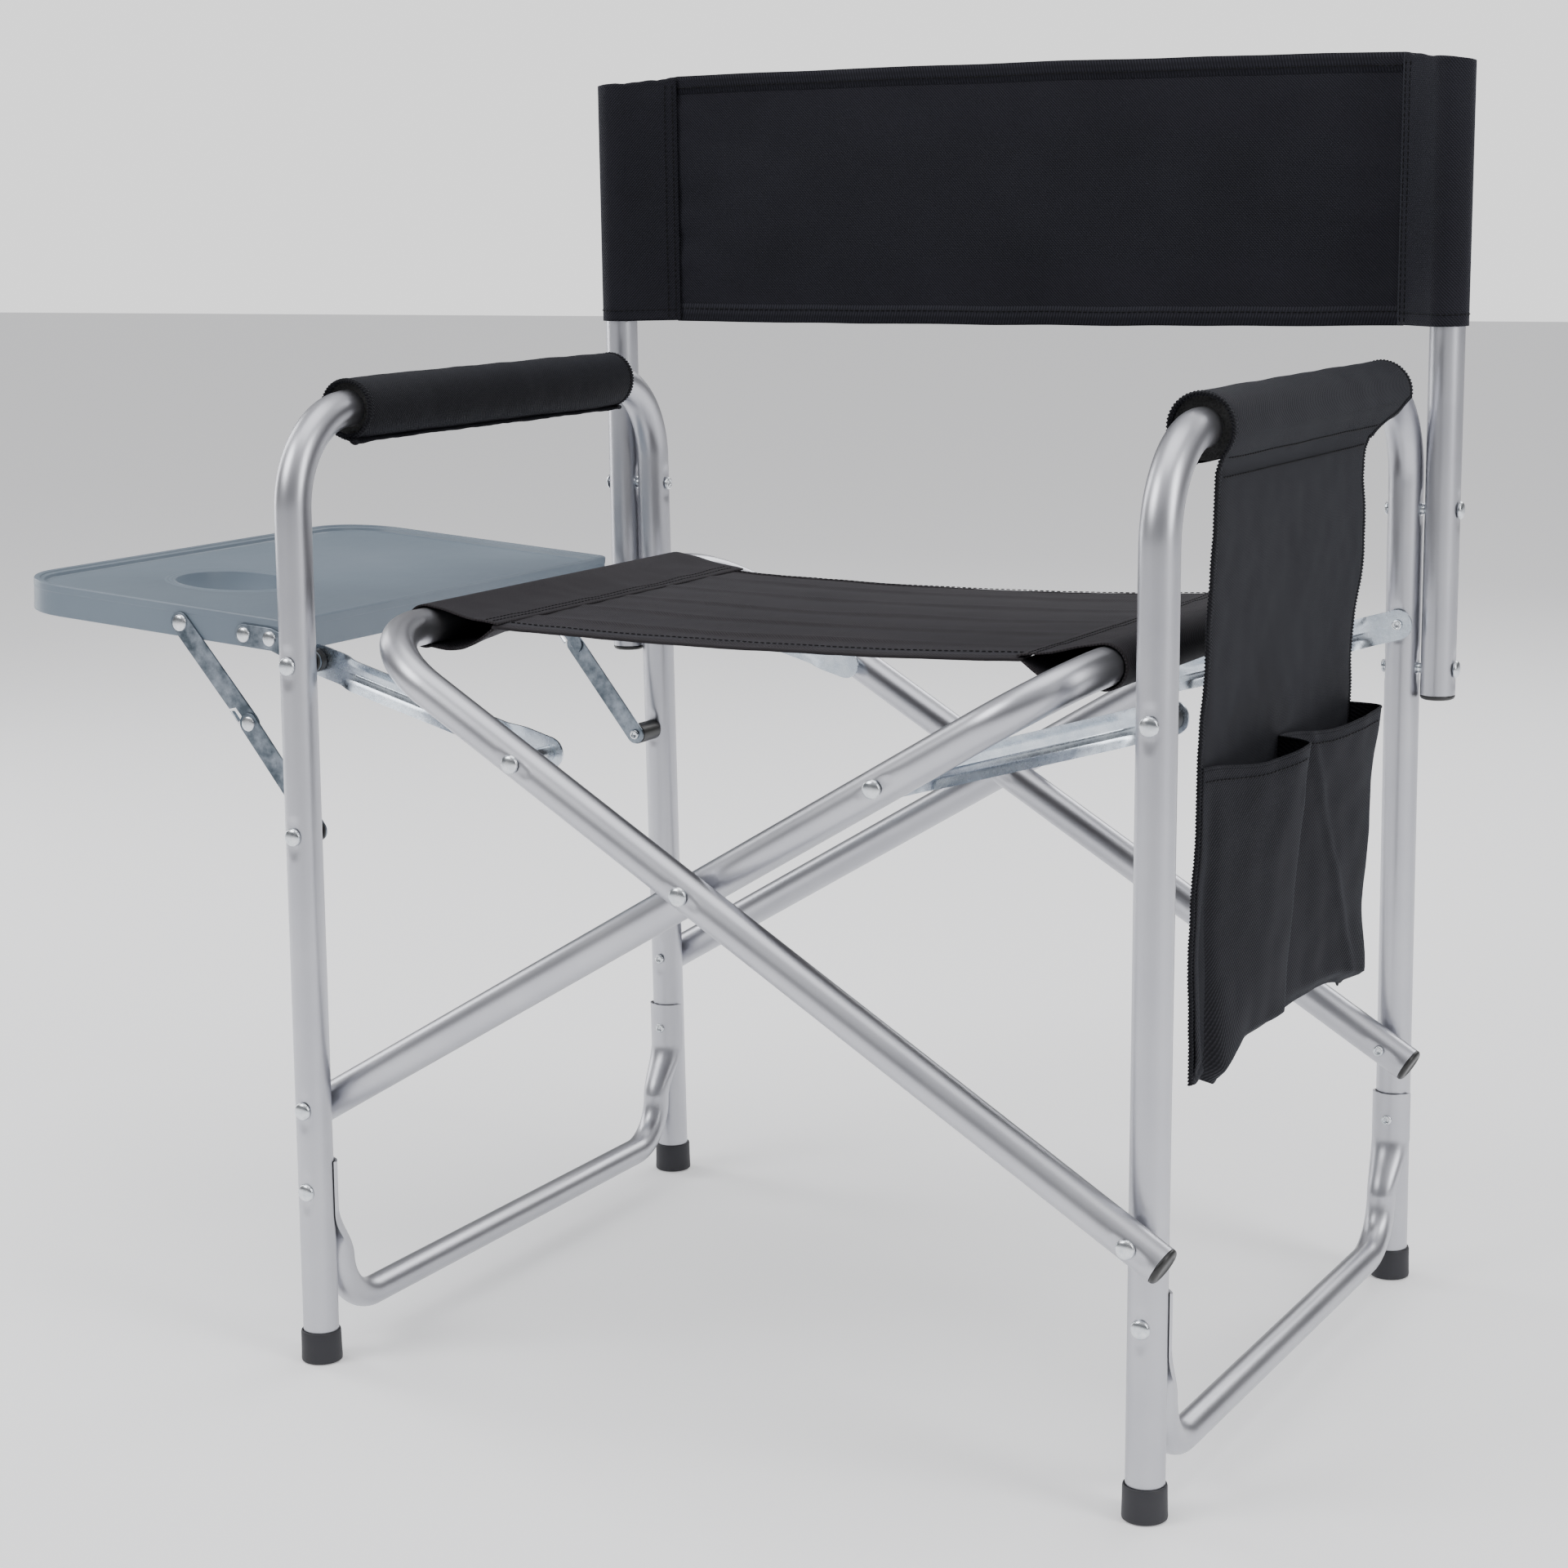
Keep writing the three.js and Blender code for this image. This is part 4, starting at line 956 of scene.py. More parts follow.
def side_table():
    """Moulded tray: a wall with a bead, a stepped rim, a recessed plate and a collared cup hole."""
    # Each profile is (growth of the outline or radius, height), from under the top round to it.
    rim = [(-2.5, -6.5), (-2.5, -19.6), (-2.1, -20), (-0.4, -20), (0, -19.6), (0, -5.2), (0.22, -4.8),
           (0.25, -0.9), (-0.1, -0.3), (-0.8, 0), (-2.9, 0), (-3.5, -0.25), (-3.9, -1.1), (-5.6, -1.25),
           (-6.3, -1.6), (-7.0, -3.4), (-7.7, -3.95), (-8.6, -4.0)]
    cup = [(46.0, -4.0), (45.4, -4.3), (44.8, -4.3), (44.2, -4.0), (43.2, -4.0), (42.6, -4.3), (42.0, -4.3),
           (41.4, -4.0), (40.2, -4.0), (39.6, -4.3), (39.2, -4.0), (38.2, -4.05), (37.7, -4.3), (CUP_R, -4.9),
           (CUP_R, -19.5), (37.8, -20), (39.2, -20), (39.5, -19.6), (39.5, -6.5)]
    cup_x = (CUP_X - TABLE_X) / math.cos(TABLE_TILT)
    builder = bmesh.new()

    def ring(points):
        verts = [builder.verts.new(metres(table_point(*p))) for p in points]
        edges = [builder.edges.new((verts[i], verts[(i + 1) % len(verts)])) for i in range(len(verts))]
        return verts, edges

    def skin(rings):
        for (a, _), (b, _) in zip(rings, rings[1:]):
            for i in range(len(a)):
                k = (i + 1) % len(a)
                builder.faces.new((a[i], a[k], b[k], b[i]))

    rim_rings = [ring([(x, y, z) for x, y in table_outline(grow)]) for grow, z in rim]
    cup_rings = []
    for radius, z in cup:
        turns = [2 * math.pi * k / 72 for k in range(72)]
        cup_rings.append(ring([(cup_x + radius * math.cos(turn), CUP_Y + radius * math.sin(turn), z)
                               for turn in turns]))
    skin(rim_rings)
    skin(cup_rings)
    for outer, inner in ((rim_rings[-1], cup_rings[0]), (rim_rings[0], cup_rings[-1])):
        bmesh.ops.triangle_fill(builder, use_beauty=True, use_dissolve=False, edges=outer[1] + inner[1])
    bmesh.ops.recalc_face_normals(builder, faces=builder.faces)
    mesh = bpy.data.meshes.new("table_tray")
    builder.to_mesh(mesh)
    builder.free()
    mesh.materials.append(TABLE_PLASTIC)
    mesh.shade_smooth()
    tray = bpy.data.objects.new("table_tray", mesh)
    bpy.context.scene.collection.objects.link(tray)
    finish_piece(sharpen(tray, 28), "table", "table_plastic", "side_table")


# ---------------------------------------------------------------- cloth

def cloth(name, surface, us, vs, thickness, material, size):
    """A sheet from surface(u, v) in millimetres. size is what u and v from 0 to 1 measure when flat."""
    points, flats = [], []
    for u in us:
        for v in vs:
            points.append(surface(float(u), float(v)))
            flats.append((u * size[0], v * size[1], 0))
    rows, columns = len(us), len(vs)
    faces = []
    for i in range(rows - 1):
        for j in range(columns - 1):
            a = i * columns + j
            faces.append((a, a + 1, a + columns + 1, a + columns))
    obj = make_mesh(name, points, faces, material, flats)
    modifier = obj.modifiers.new("thickness", "SOLIDIFY")
    modifier.thickness, modifier.offset = thickness * MM, 0.0
    modifier.use_even_offset = True
    return obj


def wave(x, y, z=0.0, scale=1.0):
    return noise.noise(Vector((x / scale, y / scale, z / scale)))


def stitch_row(name, spots, outs, body, pitch=3.9, length=2.9, half=0.42):
    """Dashed thread along a line of points, standing just proud of the cloth."""
    spots, outs = np.asarray(spots, float), np.asarray(outs, float)
    steps = np.r_[0, np.cumsum(np.linalg.norm(np.diff(spots, axis=0), axis=1))]
    total = steps[-1]
    points, faces, flats = [], [], []
    for k in range(int(total / pitch)):
        s0 = k * pitch + 0.5
        ends = [np.array([np.interp(s, steps, spots[:, c]) for c in range(3)]) for s in (s0, s0 + length)]
        out = np.array([np.interp(s0, steps, outs[:, c]) for c in range(3)])
        out /= np.linalg.norm(out)
        run = (ends[1] - ends[0]) / np.linalg.norm(ends[1] - ends[0])
        side = np.cross(run, out)
        base = len(points)
        for place, share in ((0.0, 0.35), (0.22, 1.0), (0.78, 1.0), (1.0, 0.35)):
            centre = ends[0] + (ends[1] - ends[0]) * place
            for turn in range(6):
                a = 2 * math.pi * turn / 6
                points.append(centre + half * share * (side * math.cos(a) + out * (math.sin(a) * 0.8 + 0.1)))
                flats.append((s0 + length * place, turn, 0))
        for ring in range(3):
            for j in range(6):
                a, b = base + ring * 6 + j, base + ring * 6 + (j + 1) % 6
                faces.append((a, b, b + 6, a + 6))
        faces.append(tuple(base + j for j in range(5, -1, -1)))
        faces.append(tuple(base + 18 + j for j in range(6)))
    obj = make_mesh(name, points, faces, THREAD, flats)
    if body:
        finish_piece(obj, body, SLOT_OF_THREAD)
    return obj


def overlock(name, spots, body, radius=1.5, slot="bag_fabric", pitch=2.0):
    """A cord of close thread loops along a cut edge."""
    spots = np.asarray(spots, float)
    steps = np.r_[0, np.cumsum(np.linalg.norm(np.diff(spots, axis=0), axis=1))]
    count = int(steps[-1] / pitch * 4)
    places = np.linspace(0, steps[-1], count)
    path = np.array([[np.interp(s, steps, spots[:, c]) for c in range(3)] for s in places])
    rings, flats, _ = sweep_rings(path, radius, 10)
    for i, s in enumerate(places):
        swell = 1 + 0.28 * math.sin(2 * math.pi * s / pitch) + 0.08 * wave(s, 7, 3, 5)
        centre = rings[i].mean(0)
        rings[i] = centre + (rings[i] - centre) * swell * (0.85, 1.9, 0.85)
    obj = loft(name, rings, BAG_FABRIC, flats=flats)
    return finish_piece(obj, body, slot)


def seat_sleeve(side):
    """Cloth wrapped round a seat rail and sewn to itself at the seam."""
    way = SIDES[side]
    which = "a" if side == "left" else "b"
    rail_z = seat_tube_z(which, way * SEAT_RAIL_X)
    radius, seam = 12.7, SEAT_SEAM_X - 4
    reach = SEAT_RAIL_X - seam
    drop = SEAT_Z + 1.0 - rail_z
    slant = math.asin(min(0.99, radius / math.hypot(reach, drop)))
    tilt = math.atan2(drop, -reach)
    top, low = tilt - (math.pi / 2 - slant), tilt + (math.pi / 2 - slant) - 2 * math.pi
    straight = math.sqrt(reach ** 2 + drop ** 2 - radius ** 2)
    arc = radius * (top - low)
    total = 2 * straight + arc

    def section(s):
        """Place round the loop from the seam, over the rail and back underneath."""
        seam_point = np.array([-reach, drop])
        if s < straight:
            to = radius * np.array([math.cos(top), math.sin(top)])
            return seam_point + (to - seam_point) * (s / straight)
        if s < straight + arc:
            turn = top - (s - straight) / radius
            return radius * np.array([math.cos(turn), math.sin(turn)])
        start = radius * np.array([math.cos(low), math.sin(low)])
        end = seam_point + np.array([3.0, -2.2])
        return start + (end - start) * ((s - straight - arc) / straight)

    def surface(u, v):
        s = u * total
        x, z = section(s)
        y = SEAT_Y[0] + (SEAT_Y[1] - SEAT_Y[0]) * v
        on_top = 1.0 if s < straight else 0.0
        away = math.sin(math.pi * min(s, total - s) / straight) if min(s, total - s) < straight else 0.0
        ripple = 1.1 * wave(y, s, 4 + way, 38) + 0.5 * wave(y, s, 9, 14)
        sag = -2.4 * away * math.sin(math.pi * v) ** 0.5
        hang = -5.0 * (1 - on_top) * away * max(0.0, 1 - abs(v) * 6) - 1.5 * away * (1 - on_top)
        edge = 1.4 * wave(s, 2, 6, 20) * (1 - min(1.0, min(v, 1 - v) * 12))
        return (way * (SEAT_RAIL_X + x), y + edge, rail_z + z + ripple * away + sag * on_top + hang)

    us = np.unique(np.r_[np.linspace(0, straight, 16), np.linspace(straight, straight + arc, 26),
                         np.linspace(straight + arc, total, 14)]) / total
    obj = cloth(f"{side}_seat_tunnel", surface, us, np.linspace(0, 1, 90), 1.1, SEAT_FABRIC_TOP_LIT, (total, 305))
    body = f"scissor_{which}"
    finish_piece(obj, body, "seat_fabric", f"{side}_seat_sleeve")
    for k, inset in enumerate((6.0, 11.0)):
        spots = [surface(inset / total, v) for v in np.linspace(0.01, 0.99, 60)]
        spots = [(p[0], p[1], p[2] + 0.65) for p in spots]
        stitch_row(f"{side}_seat_seam_stitches_{k + 1}", spots, [(0, 0, 1)] * 60, body)


def seat_panel_z(x, y):
    """Height of the taut seat: slight sag, soft creases along x, and wrinkles at the seams."""
    across = 1 - (x / SEAT_SEAM_X) ** 2
    sag = -4.2 * across
    crease = 0.0
    for k, line in enumerate((-112.0, -58.0, -4.0, 50.0, 102.0)):
        drift = 3.0 * wave(x, k * 9.0, 1, 90)
        crease += 1.9 * math.exp(-(((y - line - drift) / 5.0) ** 2))
        crease -= 0.9 * math.exp(-(((y - line - drift - 13) / 12.0) ** 2))
    pull = 0.9 * wave(x, y * 2.5, 2, 60) + 0.25 * wave(x, y, 5, 12)
    edge = -1.6 * smoothstep((abs(y + 2.5) - 138) / 16)
    return SEAT_Z + 0.6 + sag + crease * (0.35 + 0.65 * across) + pull * 0.7 + float(edge)


def seat_panel():
    """The sheet between the two tunnels, with hemmed front and rear edges."""
    width, length = 2 * SEAT_SEAM_X, SEAT_Y[1] - SEAT_Y[0]

    def surface(u, v, lift=0.0):
        x = -SEAT_SEAM_X + width * u
        bow = 3.5 * (1 - (x / SEAT_SEAM_X) ** 2)
        y0, y1 = SEAT_Y[0] + bow, SEAT_Y[1] - bow
        y = y0 + (y1 - y0) * v + 0.7 * wave(x, v * 300, 8, 50)
        return (x, y, seat_panel_z(x, y) + lift)

    panel = cloth("seat_cloth", surface, np.linspace(0, 1, 120), np.linspace(0, 1, 130), 1.1, SEAT_FABRIC_TOP_LIT,
                  (width, length))
    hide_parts("seat_panel")
    pieces = [panel]
    for name, edge in (("front", 0.0), ("rear", 1.0)):
        inward = 1 if edge == 0 else -1
        hem = []
        for u in np.linspace(0, 1, 120):
            row = []
            for k in range(9):
                turn = math.pi * k / 8
                x, y, z = surface(u, edge)
                if k == 0 or k == 8:
                    px, py, pz = surface(u, edge + inward * 14.0 / length)
                    row.append((px, py, pz + (0.9 if k == 0 else -0.9)))
                else:
                    row.append((x, y - inward * 0.9 * math.sin(turn), z + 0.95 * math.cos(turn)))
            hem.append(row)
        obj = loft(f"seat_{name}_hem", hem, SEAT_FABRIC_TOP_LIT,
                   flats=[[(u * width, k * 3.0, 0) for k in range(9)] for u in np.linspace(0, 1, 120)])
        pieces.append(obj)
        spots = [surface(u, edge + inward * 11.0 / length, 1.15) for u in np.linspace(0.005, 0.995, 120)]
        row = stitch_row(f"seat_{name}_hem_stitches", spots, [(0, 0, 1)] * 120, None)
        pieces.append(row)
    for obj in pieces:
        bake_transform(obj)


def back_top_z(x):
    """The back's top edge: it falls from the seams towards the posts and crowns a little between."""
    slope = min(1.0, max(0.0, (POST_X + 12 - abs(x)) / (POST_X + 12 - BACK_SEAM_X)))
    return 779.0 + 6.5 * slope + 1.6 * max(0.0, 1 - (x / BACK_SEAM_X) ** 2) + 0.5 * wave(x, 3, 1, 60)


def back_bottom_z(x):
    return 619.5 - 1.6 * (1 - (x / 300.0) ** 2) + 0.5 * wave(x, 9, 2, 45)


def back_sleeve(side):
    """Cloth round a back post, sewn to the panel at the seam."""
    way = SIDES[side]
    radius, seam = 12.4, BACK_SEAM_X
    reach, shift = POST_X - seam, BACK_Y - 1.0 - POST_Y
    distance = math.hypot(reach, shift)
    slant = math.asin(radius / distance)
    towards = math.atan2(shift, -reach)
    first, last = towards + (math.pi / 2 - slant), towards - (math.pi / 2 - slant) + 2 * math.pi
    straight = math.sqrt(distance ** 2 - radius ** 2)
    arc = radius * (last - first)
    total = 2 * straight + arc
    seam_point = np.array([-reach, shift])

    def section(s):
        """From the seam along the front layer, round the post, and back along the rear layer."""
        if s < straight:
            to = radius * np.array([math.cos(first), math.sin(first)])
            start = seam_point + np.array([0, -0.9])
            return start + (to - start) * (s / straight)
        if s < straight + arc:
            turn = first + (s - straight) / radius
            return radius * np.array([math.cos(turn), math.sin(turn)])
        start = radius * np.array([math.cos(last), math.sin(last)])
        end = seam_point + np.array([0, 2.7])
        return start + (end - start) * ((s - straight - arc) / straight)

    def surface(u, v):
        s = u * total
        x, y = section(s)
        x_place = POST_X + x
        z0, z1 = back_bottom_z(x_place), back_top_z(x_place)
        away = math.sin(math.pi * min(s, total - s) / straight) if min(s, total - s) < straight else 0.0
        dent = away * (1.2 * wave(v * 150, s, 3 + way, 40) + 0.4 * wave(v * 150, s, 8, 12))
        mouth = 2.2 * away * float(smoothstep((v - 0.9) / 0.1))
        front = 1 if s < total / 2 else -1
        fold = 1.2 * wave(s, 5, way, 9) * float(smoothstep((v - 0.93) / 0.07))
        return (way * x_place, POST_Y + y + dent + mouth * front, z0 + (z1 - z0) * v + fold)

    us = np.unique(np.r_[np.linspace(0, straight, 18), np.linspace(straight, straight + arc, 28),
                         np.linspace(straight + arc, total, 16)]) / total
    obj = cloth(f"{side}_back_tunnel", surface, us, np.linspace(0, 1, 70), 1.1, BACK_FABRIC, (total, 158))
    body = FRAME_OF[side]
    finish_piece(obj, body, "back_fabric", f"{side}_back_sleeve")
    for k, inset in enumerate((2.5, 8.0)):
        spots = [surface(inset / total, v) for v in np.linspace(0.01, 0.98, 60)]
        spots = [(p[0], p[1] - 0.9, p[2]) for p in spots]
        stitch_row(f"{side}_back_seam_stitches_{k + 1}", spots, [(0, -1, 0)] * 60, body)
    spots = [np.array(surface(u, 0.045)) for u in np.linspace(0.01, 0.62, 50)]
    post = np.array([way * POST_X, POST_Y, 0])
    outs = []
    for spot in spots:
        out = np.array([0, -1.0, 0]) if abs(spot[0]) < POST_X - 6 else (spot - post) * (1, 1, 0)
        outs.append(out / np.linalg.norm(out))
    spots = [s + o * 0.85 for s, o in zip(spots, outs)]
    stitch_row(f"{side}_back_hem_stitches", spots, outs, body)


def back_panel():
    """The backrest between the seams: taut, with short wrinkles at the seams and a stitched hem."""
    width = 2 * BACK_SEAM_X + 6

    def surface(u, v, proud=0.0):
        x = width * (u - 0.5)
        z0, z1 = back_bottom_z(x), back_top_z(x)
        z = z0 + (z1 - z0) * v
        near = math.exp(-abs(BACK_SEAM_X - abs(x)) / 42.0)
        pull = near * 1.5 * wave(x * 0.6, z * 1.6, 3, 26) + 0.7 * wave(x, z, 6, 90) + 0.2 * wave(x, z, 2, 18)
        hollow = 1.5 * (1 - (x / BACK_SEAM_X) ** 2)
        return (x, BACK_Y + 0.4 + hollow + pull - proud, z)

    panel = cloth("back_cloth", surface, np.linspace(0, 1, 170), np.linspace(0, 1, 60), 1.1, BACK_FABRIC,
                  (width, 168))
    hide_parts("back_panel")
    pieces = [panel]
    for name, v in (("bottom", 0.05), ("top", 0.955)):
        for face, out in (("front", 1), ("rear", -1)):
            spots = [surface(u, v, 0.75 * out) for u in np.linspace(0.004, 0.996, 200)]
            row = stitch_row(f"back_{name}_hem_stitches_{face}", spots, [(0, -out, 0)] * 200, None)
            pieces.append(row)
    for name, v in (("bottom", 0.0), ("top", 1.0)):
        rings, flats = [], []
        way = 1 if v == 0 else -1
        for u in np.linspace(0, 1, 170):
            row = []
            for k in range(9):
                turn = math.pi * k / 8
                x, y, z = surface(u, v)
                if k in (0, 8):
                    x, y, z = surface(u, v + way * 0.07)
                    row.append((x, y + (-0.75 if k == 0 else 0.75), z))
                else:
                    row.append((x, y - 0.8 * math.cos(turn), z - way * 0.6 * math.sin(turn)))
            rings.append(row)
            flats.append([(u * width, k * 3.0, 0) for k in range(9)])
        hem = loft(f"back_{name}_hem", rings, BACK_FABRIC, flats=flats)
        pieces.append(hem)
    for obj in pieces:
        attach(obj, "right_frame")
        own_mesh(obj)


def pad_radius(turn, y, seed):
    """The pad's radius: dimpled, and drawn in at its ends."""
    ends = min(y - PAD_Y[0], PAD_Y[1] - y)
    drawn = -1.0 * math.exp(-ends / 7.0)
    dimple = 0.55 * wave(y, turn * 14, seed, 32) + 0.2 * wave(y, turn * 14, seed + 3, 11)
    return PAD_R - 0.5 + drawn + dimple


def arm_pad(side):
    """Foam tube in a cloth wrap, closed underneath, with overlocked ends."""
    way = SIDES[side]
    x, seed = way * HALF_W, 5 + way
    body = FRAME_OF[side]
    profile = [(11.6, 0), (17.2, 0), (17.4, 1), (17.4, 302), (17.2, 303), (11.6, 303)]
    core = turned(f"{side}_pad_foam", profile, (x, PAD_Y[0] + 2, ARM_Z), (0, 1, 0), FOAM, 36)
    finish_piece(core, body, "bag_fabric")
    if side == "right":
        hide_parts("right_arm_pad")
        return

    def surface(u, v):
        """From under the inner side, over the top and on under the outer side to the closing edge."""
        turn = math.radians(-100 + 392 * u)
        y = PAD_Y[0] + (PAD_Y[1] - PAD_Y[0]) * v
        over = 1.5 * float(smoothstep((u - 0.88) / 0.1))
        radius = pad_radius(turn, y, seed) + over
        flare = float(smoothstep((u - 0.955) / 0.045))
        ragged = flare * (0.35 * wave(y, 4, 2, 7) + 2.0 * math.exp(-((y - PAD_Y[0]) / 14.0) ** 2))
        radius += flare * 1.4 + ragged
        y -= flare * 3.5 * math.exp(-((y - PAD_Y[0]) / 10.0) ** 2)
        return (x - way * radius * math.cos(turn), y, ARM_Z + radius * math.sin(turn))

    around = math.radians(392) * PAD_R
    obj = cloth(f"{side}_pad_cloth", surface, np.linspace(0, 1, 110), np.linspace(0, 1, 110), 1.0, BAG_FABRIC,
                (around, 307))
    finish_piece(obj, body, "bag_fabric", f"{side}_arm_pad")
    for name, v in (("front", 0.0), ("rear", 1.0)):
        overlock(f"{side}_pad_{name}_edge", [surface(u, v) for u in np.linspace(0, 1, 90)], body, 1.45)


# ---------------------------------------------------------------- organizer

# (height, y) along the organizer's front and rear edges, from the armrest down.
BAG_FRONT = ((600, -152), (565, -153.5), (520, -158), (440, -161), (330, -163), (236, -164.5), (215, -163))
BAG_REAR = ((600, 154), (582, 151), (574, 136), (565, 110), (556, 95), (540, 90), (515, 95), (485, 97),
            (455, 88), (425, 83), (400, 87), (330, 90), (236, 92), (215, 92))


def edge_at(table, z):
    """Smooth interpolation of an edge through its few guiding points, from high to low."""
    zs = np.array([p[0] for p in table], float)[::-1]
    ys = np.array([p[1] for p in table], float)[::-1]
    slopes = np.gradient(ys, zs)
    k = int(np.clip(np.searchsorted(zs, z) - 1, 0, len(zs) - 2))
    span = zs[k + 1] - zs[k]
    t = float(np.clip((z - zs[k]) / span, 0, 1))
    h00, h10 = 2 * t ** 3 - 3 * t ** 2 + 1, t ** 3 - 2 * t ** 2 + t
    h01, h11 = -2 * t ** 3 + 3 * t ** 2, t ** 3 - t ** 2
    return h00 * ys[k] + h10 * span * slopes[k] + h01 * ys[k + 1] + h11 * span * slopes[k + 1]


def bag_x(z, y):
    """How far out the hanging cloth is: under the pad's outer side above, drawn in lower down."""
    lean = 276.5 + 7.5 * float(smoothstep((z - 300) / 260.0))
    ripple = 1.6 * wave(y * 0.7, z, 3, 55) + 0.5 * wave(y, z, 7, 16)
    curl = 1.6 * math.exp(-abs(y - edge_at(BAG_FRONT, z)) / 7.0)
    curl += 2.0 * math.exp(-abs(edge_at(BAG_REAR, z) - y) / 8.0)
    return lean + ripple * float(smoothstep((572 - z) / 40.0)) - curl * 0.7


def organizer():
    """One cloth that wraps the right pad and hangs below it, with two gusseted pockets."""
    body = "right_frame"
    radius, bottom_z, leave_z = 19.0, 234.0, 560.0
    wrap = math.radians(268)
    arc = radius * wrap
    fall = ARM_Z - 3 - leave_z
    total = arc + fall + (leave_z - bottom_z)

    def path(u):
        """(x, z) from under the pad over its top and down. x is None where the cloth hangs free."""
        s = u * total
        if s < arc:
            turn = math.radians(-98) - s / radius
            return HALF_W + radius * math.cos(turn), ARM_Z + radius * math.sin(turn)
        s -= arc
        if s < fall:
            t = s / fall
            z = ARM_Z - 3 - (ARM_Z - 3 - leave_z) * t
            return HALF_W + radius + (bag_x(leave_z, 0) - HALF_W - radius) * float(smoothstep(t)), z
        return None, leave_z - (s - fall)

    def surface(u, v):
        s = u * total
        x, z = path(u)
        if s > arc:
            height = z
        else:
            height = ARM_Z + 4 if s > arc - 14 else 600.0
        y0, y1 = edge_at(BAG_FRONT, height), edge_at(BAG_REAR, height)
        y = y0 + (y1 - y0) * v
        if x is None:
            x = bag_x(z, y)
        else:
            turn = math.atan2(z - ARM_Z, x - HALF_W)
            bulge = 0.5 * wave(y, turn * 14, 9, 30) - 0.8 * math.exp(-min(y - PAD_Y[0], PAD_Y[1] - y) / 7.0)
            x += bulge * math.cos(turn)
            z += bulge * math.sin(turn)
        if height < 250:
            t = (250 - height) / 16
            z += 2.0 * t * wave(y, 2, 5, 30) - 6.0 * t * math.exp(-((y - y0 - 4) / 9.0) ** 2)
            z -= 7.0 * t * math.exp(-((y1 - y - 5) / 7.0) ** 2)
            z += 5.0 * t * float(smoothstep((y - y0 - 20) / 60.0)) * float(smoothstep((y1 - y - 8) / 30.0))
        return (x, y, z)

    us = np.unique(np.r_[np.linspace(0, arc, 46), np.linspace(arc, arc + fall, 10),
                         np.linspace(arc + fall, total, 110)]) / total
    panel = cloth("organizer_cloth", surface, us, np.linspace(0, 1, 90), 1.0, BAG_FABRIC, (total, 260))
    finish_piece(panel, body, "bag_fabric", "organizer")
    for name, v in (("front", 0.0), ("rear", 1.0)):
        overlock(f"organizer_{name}_edge", [surface(u, v) for u in np.linspace(0, 1, 260)], body, 1.5)
    for k, height in enumerate((566.0, 556.0)):
        spots = []
        for v in np.linspace(0.02, 0.98, 60):
            y = edge_at(BAG_FRONT, height) + (edge_at(BAG_REAR, height) - edge_at(BAG_FRONT, height)) * v
            u = (arc + (ARM_Z - 3 - height)) / total
            p = surface(u, v)
            spots.append((p[0] + 0.8, p[1], p[2]))
        stitch_row(f"organizer_hanging_stitches_{k + 1}", spots, [(1, 0, 0)] * 60, body)

    pocket("front_pocket", FRONT, 24.0, body, crest=0.86)
    pocket("rear_pocket", REAR, 21.0, body, crest=0.90)


